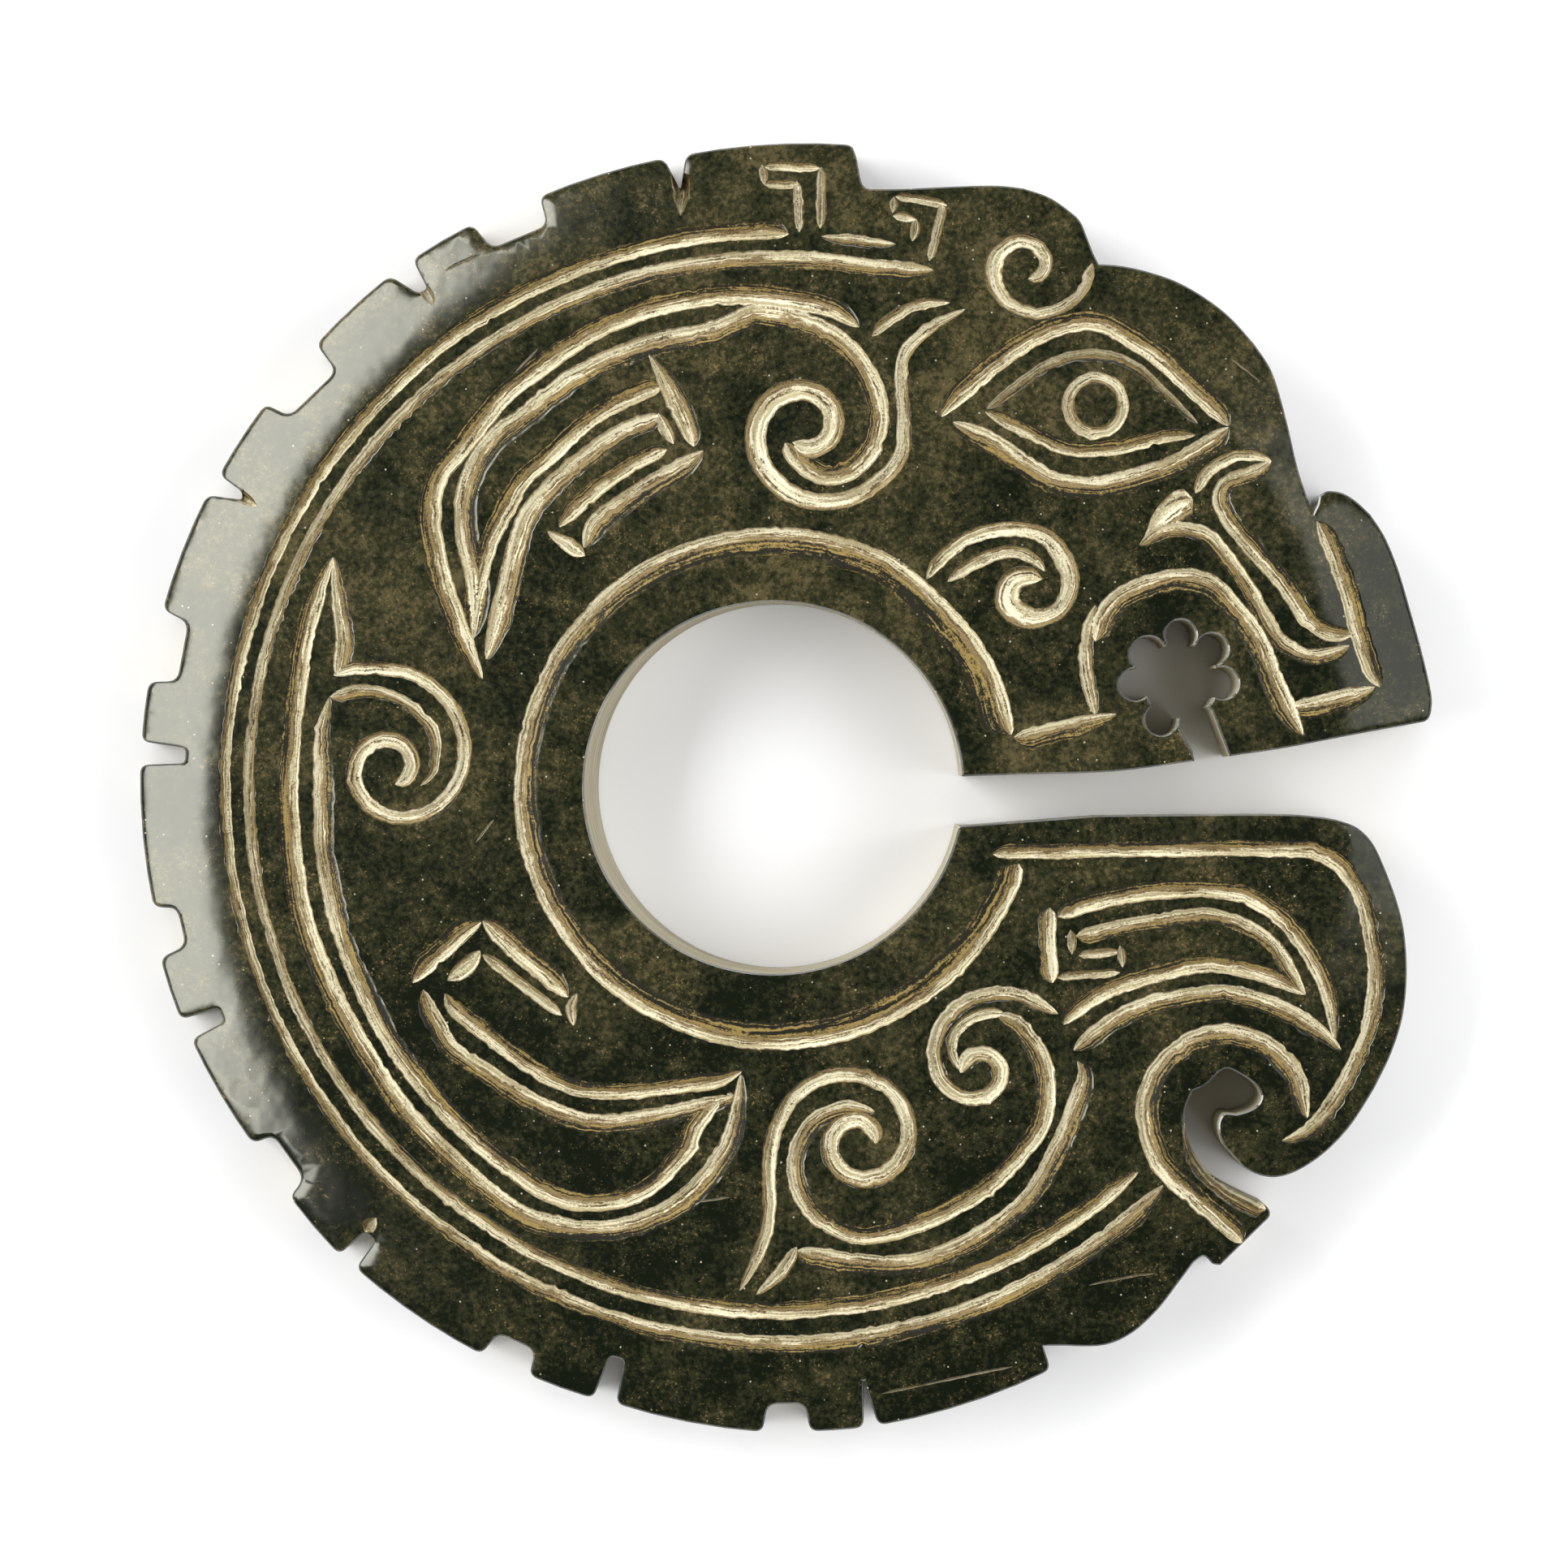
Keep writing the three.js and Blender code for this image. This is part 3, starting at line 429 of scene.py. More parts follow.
    def head_curls(self) -> list[Cut]:
        """The curl over the brow and the small curl on the cheek.

        Returns:
            The cuts.
        """
        cheek = [
            (10.7, 16.1), (11.7, 17.5), (13.7, 19.1), (15.9, 19.8), (18.0, 19.9), (19.7, 19.4), (21.0, 18.0),
            (21.7, 16.2), (21.5, 14.8), (20.7, 13.6), (19.2, 13.1), (17.8, 13.4), (16.9, 14.4), (17.2, 15.7),
            (18.3, 16.3), (19.6, 16.1),
        ]
        return [
            Cut(scroll(18.5, 40.3, 2, -450, 5.0, 1.1, 0.9), (0.8, 0.85, 0.9, 1.35, 1.1, 1.0), 0, 1, 1, 1),
            Cut(cheek, (0.9, 0.95, 1.0, 1.05, 1.2, 1.5, 1.3, 1.2, 1.9, 1.7, 1.0), 0, 1, 1.5, 0.8),
            Cut([(12.3, 15.9), (14.1, 17.1), (16.2, 18.0), (17.8, 18.1), (19.2, 17.4), (19.8, 16.7)]),
        ]

    def crest_keys(self) -> list[Cut]:
        """Two angular keys on the crest, each a run of short straight cuts.

        Returns:
            The cuts.
        """
        ends = [
            (-2.0, 48.1, -1.8, 46.5), (-1.8, 47.9, 2.5, 47.8), (2.6, 47.9, 2.5, 43.1),
            (-1.8, 46.5, 1.0, 46.5), (0.7, 46.8, 0.9, 42.8), (8.2, 45.6, 8.1, 44.3),
            (8.3, 45.6, 12.3, 44.9), (12.0, 45.2, 10.9, 40.6), (8.1, 44.1, 9.9, 43.8),
            (9.9, 43.9, 9.6, 42.1),
        ]
        return [Cut([(a, b), (c, d)], (0.65,), 0, 1, 0.5, 0.7) for a, b, c, d in ends]

    def tail_leaf(self) -> list[Cut]:
        """The tail's border, the leaf inside it, and the small key at the leaf's foot.

        Returns:
            The cuts.
        """
        border = [
            (15.8, -5.1), (19.2, -5.1), (28.2, -4.9), (39.1, -4.9), (40.9, -5.2), (42.7, -6.4),
            (44.2, -8.8), (44.8, -11.2), (45.2, -14.3), (44.6, -18.6), (43.2, -21.9), (41.4, -24.9),
            (39.7, -26.5), (38.1, -27.2),
        ]
        top = [
            (20.8, -9.9), (24.2, -8.9), (28.2, -8.2), (32.2, -8.1), (35.2, -8.5), (38.1, -10.4),
            (40.1, -13.1), (41.5, -16.0), (42.2, -19.6),
        ]
        top_lining = [
            (22.2, -11.4), (25.2, -10.6), (29.2, -9.9), (32.3, -9.6), (35.2, -10.4), (37.7, -12.2),
            (39.9, -15.9),
        ]
        foot_lining = [
            (21.2, -18.2), (24.2, -16.0), (28.2, -14.6), (32.2, -13.8), (36.2, -14.4), (39.9, -15.9),
        ]
        foot = [
            (22.0, -20.2), (24.2, -18.2), (27.2, -16.6), (31.2, -15.7), (34.2, -15.6), (38.1, -16.8),
            (41.1, -18.6), (42.7, -20.2),
        ]
        key = [
            (21.8, -10.9, 21.9, -12.8), (22.4, -12.9, 25.6, -12.6), (25.6, -12.1, 25.8, -13.8),
            (20.8, -14.6, 25.6, -14.2),
        ]
        return [
            Cut(border, (0.8, 0.95), 0.5, 1, 1, 2.5),
            Cut([(20.2, -9.2), (20.2, -12.1), (20.4, -15.0)], (1.1,), 0.4, -1, 0.7, 0.7),
            Cut(top, (0.9,), 0.6, 1, 0.8, 4),
            Cut(top_lining, (0.85,), 0.5, -1, 0.8, 2.5),
            Cut(foot_lining, (0.9,), 0.5, 1, 1.5, 2.5),
            Cut(foot, (0.9,), 0.6, -1, 1.5, 3),
            *[Cut([(a, b), (c, d)], (0.6,), 0, 1, 0.5, 0.7) for a, b, c, d in key],
        ]

    def tail_curls(self) -> list[Cut]:
        """The curls between body and tail.

        Returns:
            The cuts.
        """
        sickle = [(13.4, -21.8), (12.8, -20.6), (12.8, -19.2), (13.8, -18.0), (15.3, -17.4), (16.8, -17.4)]
        stem = [
            *scroll(5.5, -28.4, 71, 266, 3.7, 6.3), (7.8, -34.5), (10.5, -33.6), (13.2, -32.4),
            (15.9, -30.6), (18.0, -28.5), (19.6, -26.3), (20.1, -23.8), (20.0, -21.5), (19.2, -19.7),
            (17.6, -17.9), (16.1, -17.4),
        ]
        body_curl = [
            (-3.7, -38.7), (-2.6, -36.7), (-1.6, -34.2), (-1.3, -31.9), (-1.4, -29.4),
            *scroll(5.4, -27.2, 177, -368, 6.5, 1.4, 1.2),
        ]
        return [
            Cut(scroll(15.0, -21.6, 36, 552, 7.2, 1.7, 2.5), (0.9, 1.0, 1.05, 1.2), 0, 1, 1.5, 1),
            Cut(sickle, (0.8,), 0, 1, 1.5, 1),
            Cut(stem, (0.8, 0.8, 0.85, 1.0, 0.8), 0.6, 1, 1.5, 1),
            Cut([*scroll(6.3, -20.3, -110, -10, 16.3), (22.3, -21.0)], (0.9,), 0.8, -1, 1, 2),
            Cut(body_curl, (0.9, 1.0, 1.1, 1.3, 1.3), 0, 1, 4, 1),
            Cut([(0.7, -35.3), (-0.5, -37.1), (-2.4, -39.0)], (0.9,), 0, 1, 1, 2),
        ]

    def tail_hook(self) -> list[Cut]:
        """The line that follows the hook of the tail, and the bevel at the foot of its channel.

        Returns:
            The cuts.
        """
        hook = [(35.1, -35.1), (31.4, -31.9), (29.0, -29.7), *scroll(33.7, -25.0, 206, -4, 6.4)]
        bevel = [(30.6, -25.6), (30.9, -27.1), (32.0, -29.2), (34.2, -31.1), (36.9, -32.5)]
        return [
            Cut(hook, (1.0,), 0.8, -1, 0.8, 2),
            Cut(bevel, (0.7, 0.9, 1.2), 0.4, -1, 3, 0.5, depth=1.1),
        ]

    def saw_ends(self) -> list[Cut]:
        """Short run-outs where the rim's saw cuts end in the face.

        Returns:
            The cuts.
        """
        return [
            Cut([(-8.3, 47.6), (-8.3, 46.2), (-8.25, 44.1)], (1.5, 1.2, 0.7), 0, 1, 0.2, 1.4, depth=1.6),
            Cut([(-42.6, 22.8), (-41.6, 22.1), (-40.9, 21.7)], (0.8,), 0, 1, 0.4, 1.0, depth=0.8),
            Cut([(-32.6, -34.2), (-32.0, -33.5), (-31.7, -33.1)], (1.1,), 0, 1, 0.4, 0.8, depth=0.9),
            Cut([(-28.4, 38.8), (-27.8, 38.0), (-27.3, 37.2)], (0.8,), 0, 1, 0.3, 0.9, depth=0.4, pale=0.5),
        ]

    def scratches(self) -> list[Cut]:
        """Fine scratches and nicks in the polish.

        Returns:
            The cuts.
        """
        strokes = [
            [(7.2, -46.7), (12.0, -45.7), (17.4, -44.6)],
            [(-7.2, -31.9), (-4.4, -31.5)],
            [(23.2, -38.3), (25.8, -37.8), (28.4, -37.4)],
            [(34.1, 33.2), (36.4, 31.4)],
            [(-26.3, 39.9), (-23.6, 41.1)],
            [(-24.0, -4.2), (-22.6, -2.4)],
            [(-19.2, 33.9), (-21.1, 31.9)],
            [(-26.4, -43.6), (-25.3, -45.4)],
        ]
        return [Cut(s, (0.12,), 0, 1, 0.8, 0.8, depth=0.05, pale=0.35, ragged=0.5) for s in strokes]

    def every_cut(self) -> list[Cut]:
        """All lines, in a fixed order.

        Returns:
            The cuts, which are numbered in this order.
        """
        return [
            *self.spine_border(), *self.mane(), *self.inner_plume(), *self.body_plume(),
            *self.body_crescent(), *self.collar(), *self.muzzle(), *self.eye(), *self.head_curls(),
            *self.crest_keys(), *self.tail_leaf(), *self.tail_curls(), *self.tail_hook(),
            *self.saw_ends(), *self.scratches(),
        ]


# ------------------------------------------------------------------ the plate's edge in plan


class Finish(Enum):
    """How a stretch of the plate's wall is finished."""

    POLISHED = 0.0
    GROUND = 1.0


@dataclass(frozen=True)
class Oval:
    """An oval, by its middle and its two half widths."""

    x: float
    y: float
    across: float
    tall: float

    def loop(self, spacing: float) -> np.ndarray:
        """Points round the oval, about spacing apart."""
        turn = np.linspace(0, 2 * math.pi, int(2 * math.pi * self.across / spacing), endpoint=False)
        return np.column_stack([self.x + self.across * np.cos(turn), self.y + self.tall * np.sin(turn)])


class Pen:
    """Draws an outline as a polyline and notes the finish of each stretch."""

    def __init__(self, x: float, y: float) -> None:
        """Starts the outline at a point."""
        self.points: Points = [(x, y)]
        self.finishes: list[Finish] = [Finish.POLISHED]

    def straight(self, *points: Point, finish: Finish = Finish.GROUND) -> None:
        """Draws straight on through points."""
        self.points += points
        self.finishes += [finish] * len(points)

    def curve(self, *points: Point, finish: Finish = Finish.GROUND) -> None:
        """Draws one smooth curve through points."""
        fine = smooth_path([self.points[-1], *points], 7)[1:]
        self.straight(*map(tuple, fine), finish=finish)

    def bend(self, corner: Point, end: Point, finish: Finish = Finish.GROUND) -> None:
        """Rounds a corner on the way to a point.

        Args:
            corner: The corner that is rounded.
            end: Where the rounded corner ends.
            finish: How that stretch of wall is finished.
        """
        start = self.points[-1]
        for i in range(1, 6):
            t = i / 5
            weights = ((1 - t) ** 2, 2 * t * (1 - t), t * t)
            rounded = tuple(sum(w * p[k] for w, p in zip(weights, (start, corner, end))) for k in (0, 1))
            self.straight(rounded, finish=finish)


@dataclass
class PlateEdge:
    """The edge of the plate, with its hole, its slit and its pierced mouth."""

    hole_top: Oval = Oval(-1.12, 0.03, 14.6, 14.34)
    hole_foot: Oval = Oval(-0.69, 0.18, 14.08, 14.19)
    tooth_rounding: float = 0.7
    floor_rounding: float = 0.4
    saw_cut: float = 3.0
    tooth_step: float = 3.0
    spacing: float = 0.45
    drill_spacing: float = 0.3
    same_edge: float = 0.3
    teeth: tuple[tuple[float, float, float, float], ...] = (
        (83.4, 98.2, 50.0, 49.4), (100.2, 111.9, 49.4, 49.2), (118.4, 124.6, 49.5, 49.6),
        (127.1, 136.1, 49.6, 49.4), (143.1, 150.7, 49.4, 49.4), (152.8, 163.8, 49.5, 49.4),
        (170.4, 175.8, 49.2, 49.2), (177.9, 190.8, 49.2, 49.0), (195.4, 201.2, 49.4, 49.4),
        (203.2, 214.1, 49.2, 48.9), (220.0, 226.8, 49.1, 49.4), (228.7, 242.4, 49.3, 49.3),
        (247.1, 253.2, 49.2, 49.2), (255.3, 268.7, 49.1, 49.7), (272.9, 277.7, 49.7, 49.8),
        (279.0, 295.2, 49.8, 49.6),
    )
    gaps: tuple[tuple[Point, ...], ...] = (
        ((99.2, 46.7),), ((112.2, 46.9), (117.9, 47.1)), ((125.0, 47.0), (126.0, 47.2)),
        ((136.6, 46.8), (142.7, 47.3)), ((151.0, 47.2), (151.7, 46.9)), ((164.3, 47.2), (169.9, 47.0)),
        ((176.1, 45.7), (177.6, 45.7)), ((191.3, 47.2), (194.9, 47.2)), ((201.5, 46.3), (202.9, 46.3)),
        ((214.6, 47.2), (219.5, 47.3)), ((227.1, 46.7), (228.4, 46.7)), ((242.9, 47.2), (246.7, 47.2)),
        ((253.6, 45.6), (255.0, 45.6)), ((269.1, 47.5), (272.6, 47.5)), ((278.3, 46.0),),
    )
    drills: tuple[tuple[float, float, float], ...] = (
        (30.3, 11.8, 1.2), (32.7, 10.7, 1.25), (33.5, 8.1, 1.25), (27.8, 10.3, 1.4),
        (26.8, 8.0, 1.25), (28.8, 5.3, 1.25), (30.3, 8.3, 2.9),
    )
    saw: tuple[Point, ...] = (
        (30.2, 4.5), (31.2, 2.9), (31.5, 1.2), (34.4, 1.2), (34.0, 2.6), (32.7, 6.0), (31.6, 7.0),
        (30.3, 6.0),
    )

    def back_corners(self) -> list[tuple[Point, float, Finish]]:
        """Corners of the notched back: place, rounding and the finish of the run up to it.

        Returns:
            The corners.
        """
        corners = []
        for index, (start, end, start_radius, end_radius) in enumerate(self.teeth):
            steps = max(1, round((end - start) / self.tooth_step))
            for i in range(steps + 1):
                share = i / steps
                at = on_coil(lerp(start, end, share), lerp(start_radius, end_radius, share))
                rounding = self.tooth_rounding if i in (0, steps) else 0.0
                corners.append((at, rounding, Finish.POLISHED if i > 0 else Finish.GROUND))
            if index < len(self.gaps):
                wide = self.teeth[index + 1][0] - end > self.saw_cut
                rounding = self.floor_rounding * (2 if wide else 1)
                for angle, radius in self.gaps[index]:
                    corners.append((on_coil(angle, radius), rounding, Finish.GROUND))
        return corners

    def draw(self) -> Pen:
        """The outer edge, counter-clockwise, with the slit open as far as the middle of the hole.

        Returns:
            The pen, with the outline's points and finishes.
        """
        pen = Pen(5.2, 49.0)
        corners = self.back_corners()
        fin_foot = (19.7, -43.0)
        for index, (corner, rounding, finish) in enumerate(corners):
            if rounding <= 0:
                pen.straight(corner, finish=finish)
                continue
            after = corners[index + 1][0] if index + 1 < len(corners) else fin_foot
            before = Vector(pen.points[-1])
            back, ahead = before - Vector(corner), Vector(after) - Vector(corner)
            enter = Vector(corner) + back * (min(rounding, back.length / 2) / back.length)
            leave = Vector(corner) + ahead * (min(rounding, ahead.length / 2) / ahead.length)
            pen.straight(tuple(enter), finish=finish)
            pen.bend(corner, tuple(leave), finish=finish)
        out = Finish.POLISHED
        pen.straight(fin_foot, (21.2, -43.0), finish=out)
        pen.curve((24.3, -43.0), (26.5, -42.1), (28.5, -40.3), (30.2, -38.1), (31.3, -36.6), finish=out)
        pen.curve((32.1, -36.1), (32.8, -36.7), (33.4, -36.8), finish=out)
        pen.straight((37.1, -33.2), finish=out)
        pen.bend((37.5, -32.7), (36.8, -32.1))
        pen.curve((35.3, -31.4), (33.3, -30.3), (31.7, -28.7), (30.8, -26.9), (30.6, -24.9), (31.2, -23.3))
        pen.curve((32.1, -22.9), (32.8, -22.3), (33.3, -21.8), (34.0, -21.6), (35.0, -22.1))
        pen.curve((36.0, -22.8), (36.5, -23.6), (36.3, -24.3), (35.6, -24.8), (34.6, -25.1))
        pen.curve((33.6, -25.1), (33.2, -26.0), (33.5, -27.3), (34.3, -28.3), (35.1, -29.2))
        pen.curve(
            (36.3, -29.8), (37.7, -30.0), (39.4, -29.5), (41.5, -28.1), (43.5, -26.0), (45.3, -23.2),
            finish=out,
        )
        pen.curve(
            (46.6, -20.5), (47.5, -17.6), (47.8, -14.4), (47.6, -11.2), (47.0, -8.7), (46.1, -6.3),
            finish=out,
        )
        pen.curve((45.2, -4.4), (44.1, -3.2), (42.8, -2.6), (40.8, -2.2), (37.0, -2.0), (24.0, -2.1))
        pen.straight((13.3, -2.9), (self.hole_top.x, -1.0), (13.3, 0.9), (19.2, 1.1))
        pen.curve((25.2, 1.3), (31.3, 2.1), (37.7, 3.0), (43.5, 4.1), (49.0, 5.1))
        pen.bend((49.6, 5.2), (49.7, 6.0), finish=out)
        pen.curve(
            (49.7, 7.3), (49.0, 10.4), (48.0, 14.0), (47.1, 17.0), (46.1, 19.4), (45.0, 21.1),
            finish=out,
        )
        pen.curve((43.8, 22.2), (42.7, 22.8), (41.6, 22.9), (41.0, 22.5), finish=out)
        pen.straight((40.9, 21.9), (40.5, 21.1))
        pen.curve(
            (40.0, 22.6), (39.3, 24.8), (38.6, 27.9), (37.9, 30.6), (37.2, 32.5), (36.0, 34.3),
            finish=out,
        )
        pen.curve(
            (34.2, 36.3), (32.3, 37.8), (30.0, 39.1), (27.6, 39.9), (25.6, 40.3), (24.0, 40.4),
            finish=out,
        )
        pen.curve(
            (23.6, 41.2), (23.1, 42.5), (22.6, 43.7), (21.8, 44.5), (20.2, 45.6), (18.2, 46.3),
            finish=out,
        )
        pen.curve((16.0, 46.5), (12.7, 46.4), (8.7, 46.2), (6.3, 46.2), finish=out)
        pen.bend((5.7, 46.3), (5.6, 47.1), finish=out)
        pen.straight((5.3, 48.7), finish=out)
        return pen

    def split(self, loop: np.ndarray) -> np.ndarray:
        """The loop with its long runs divided, so that no step is much longer than the spacing.

        Args:
            loop: Corners of a closed loop.

        Returns:
            The loop's points.
        """
        parts = []
        for start, end in zip(loop, np.roll(loop, -1, axis=0)):
            count = max(1, int(np.hypot(*(end - start)) / self.spacing))
            parts.append(start + (end - start) * (np.arange(count) / count)[:, None])
        return np.vstack(parts)

    def boundary(self) -> tuple[np.ndarray, np.ndarray]:
        """The single closed edge of the stone.

        Returns:
            Its points, with the stone on the left, and how far each is ground rather than polished.
        """
        pen = self.draw()
        outer = self.split(np.array(pen.points))
        loops = [outer, self.hole_top.loop(self.spacing), self.split(np.array(self.saw))]
        loops += [Oval(x, y, radius, radius).loop(self.drill_spacing) for x, y, radius in self.drills]
        weave = Weave()
        for loop in loops:
            weave.add(loop, closed=True, wall=True)
        stone = weave.cut_out(seed=IN_STONE)
        boundary = stone.points[stone.boundary_loop()]
        drawn, finishes = np.array(pen.points), np.array([finish.value for finish in pen.finishes])
        gap = gaps_between(boundary, drawn)
        on_outer = gap.min(axis=1) < self.spacing * 3
        inner = np.minimum(self.hole_distance(boundary), self.mouth_distance(boundary)) < self.same_edge
        ground = np.where(on_outer & ~inner, finishes[gap.argmin(axis=1)], Finish.GROUND.value)
        return boundary, ground

    def hole_distance(self, points: np.ndarray) -> np.ndarray:
        """How far points are from the edge of the hole.

        Args:
            points: Points in plan.

        Returns:
            One distance for each, in millimetres.
        """
        across = (points[:, 0] - self.hole_top.x) / self.hole_top.across
        tall = (points[:, 1] - self.hole_top.y) / self.hole_top.tall
        return np.abs(np.hypot(across, tall) - 1) * self.hole_top.across

    def mouth_distance(self, points: np.ndarray) -> np.ndarray:
        """How far points are from the edges of the mouth's drilled holes."""
        rows = [np.abs(np.hypot(points[:, 0] - x, points[:, 1] - y) - r) for x, y, r in self.drills]
        return np.min(rows, axis=0)


# ------------------------------------------------------------------ meshes from lines in plan


@dataclass
class Cutout:
    """Triangles in plan that fill the stone, with the stone on the left of each edge."""

    points: np.ndarray
    triangles: np.ndarray

    def boundary_loop(self) -> np.ndarray:
        """Point numbers round the edge, in order, with the stone on the left.

        Returns:
            The point numbers.
        """
        sides = np.vstack([self.triangles[:, [0, 1]], self.triangles[:, [1, 2]], self.triangles[:, [2, 0]]])
        forward = {(int(a), int(b)) for a, b in sides}
        follow = {a: b for a, b in forward if (b, a) not in forward}
        first = min(follow, key=lambda index: (self.points[index][0], self.points[index][1]))
        order, here = [first], follow[first]
        while here != first and len(order) <= len(follow):
            order.append(here)
            here = follow[here]
        if len(order) != len(follow):
            LOG.warning("the edge of the stone has %d steps, %d were followed", len(follow), len(order))
        return np.array(order)


class Weave:
    """Gathers lines and points in plan, and triangulates between them."""

    def __init__(self) -> None:
        """Starts with nothing gathered."""
        self.points: list[np.ndarray] = []
        self.edges: list[np.ndarray] = []
        self.walls: list[np.ndarray] = []
        self.count = 0

    def add(self, line: np.ndarray, closed: bool = False, wall: bool = False) -> None:
        """Adds a polyline.

        Args:
            line: Its points.
            closed: Whether it runs back to its start.
            wall: Whether the stone ends there.
        """
        size = len(line)
        index = np.arange(size) + self.count
        pairs = np.column_stack([index, np.roll(index, -1)])
        pairs = pairs if closed else pairs[:-1]
        self.points.append(line)
        self.edges.append(pairs)
        self.walls.append(np.full(len(pairs), wall))
        self.count += size

    def scatter(self, points: np.ndarray) -> None:
        """Adds loose points."""
        self.points.append(points)
        self.count += len(points)

    def cut_out(self, seed: Point) -> Cutout:
        """Triangulates, and keeps what can be reached from a point without crossing a wall.

        Args:
            seed: A point inside the stone.

        Returns:
            The stone in plan.
        """
        points = np.vstack(self.points)
        edges = np.vstack(self.edges)
        walls = np.concatenate(self.walls)
        result = delaunay_2d_cdt([Vector(p) for p in points.tolist()], edges.tolist(), [], 0, MERGE, True)
        out_points = np.array([tuple(p) for p in result[0]])
        triangles = np.array(result[2])
        corners = out_points[triangles]
        side_a, side_b = corners[:, 1] - corners[:, 0], corners[:, 2] - corners[:, 0]
        turn = side_a[:, 0] * side_b[:, 1] - side_a[:, 1] * side_b[:, 0]
        triangles[turn < 0] = triangles[turn < 0][:, ::-1]
        barrier = set()
        for (a, b), sources in zip(result[1], result[4]):
            if any(walls[source] for source in sources):
                barrier.add((min(a, b), max(a, b)))
        kept = self.reach(out_points, triangles, barrier, seed)
        used, compact = np.unique(triangles[kept], return_inverse=True)
        return Cutout(out_points[used], compact.reshape(-1, 3))

    def reach(
        self, points: np.ndarray, triangles: np.ndarray, barrier: set[tuple[int, int]], seed: Point
    ) -> np.ndarray:
        """Marks the triangles that can be reached from a point.

        Args:
            points: Points of the triangles.
            triangles: Point numbers of each triangle.
            barrier: Edges that can't be crossed.
            seed: Where to start.

        Returns:
            True for each triangle that was reached.
        """
        sharing: dict[tuple[int, int], list[int]] = {}
        for number, (a, b, c) in enumerate(triangles.tolist()):
            for i, j in ((a, b), (b, c), (c, a)):
                sharing.setdefault((i, j) if i < j else (j, i), []).append(number)
        neighbours: list[list[int]] = [[] for _ in range(len(triangles))]
        for edge, owners in sharing.items():
            if len(owners) == 2 and edge not in barrier:
                neighbours[owners[0]].append(owners[1])
                neighbours[owners[1]].append(owners[0])
        middles = points[triangles].mean(axis=1)
        first = int(np.argmin(np.hypot(*(middles - np.array(seed)).T)))
        reached = np.zeros(len(triangles), bool)
        reached[first] = True
        waiting = [first]
        while waiting:
            for other in neighbours[waiting.pop()]:
                if not reached[other]:
                    reached[other] = True
                    waiting.append(other)
        return reached


@dataclass
class Trail:
    """A polyline that points are measured against."""

    line: np.ndarray
    closed: bool = False
    block: int = 12

    def measure(self, points: np.ndarray, reach: float) -> tuple[np.ndarray, np.ndarray, np.ndarray]:
        """Measures the points that lie within reach of the line.

        Args:
            points: Points in plan.
            reach: Furthest distance that matters.

        Returns:
            Numbers of the points in reach, the run along the line to the nearest place on it, and
            the distance to it, positive on its left.
        """
        line = np.vstack([self.line, self.line[:1]]) if self.closed else self.line
        step = np.diff(line, axis=0)
        length = np.maximum(np.hypot(*step.T), TINY)
        run = running(length)
        nearest = np.full(len(points), np.inf)
        along = np.zeros(len(points))
        signed = np.zeros(len(points))
        for first in range(0, len(step), self.block):
            last = min(first + self.block, len(step))
            span = line[first:last + 1]
            low, high = span.min(axis=0) - reach, span.max(axis=0) + reach
            inside = np.flatnonzero(((points > low) & (points < high)).all(axis=1))
            if not len(inside):
                continue
            away = points[inside][:, None, :] - line[None, first:last, :]
            vector = step[None, first:last, :]
            share = np.clip((away * vector).sum(axis=2) / length[first:last] ** 2, 0.0, 1.0)
            gap = np.hypot(*(away - vector * share[..., None]).transpose(2, 0, 1))
            best = gap.argmin(axis=1)
            rows = np.arange(len(inside))
            closer = gap[rows, best] < nearest[inside]
            chosen, best, rows = inside[closer], best[closer], rows[closer]
            nearest[chosen] = gap[rows, best]
            along[chosen] = run[first + best] + share[rows, best] * length[first + best]
            cross = vector[0, best, 0] * away[rows, best, 1] - vector[0, best, 1] * away[rows, best, 0]
            signed[chosen] = np.where(cross >= 0, 1.0, -1.0) * nearest[chosen]
        near = np.flatnonzero(nearest <= reach)
        return near, along[near], signed[near]


FAR = 9.0  # place across a cut of a point that is beside no cut


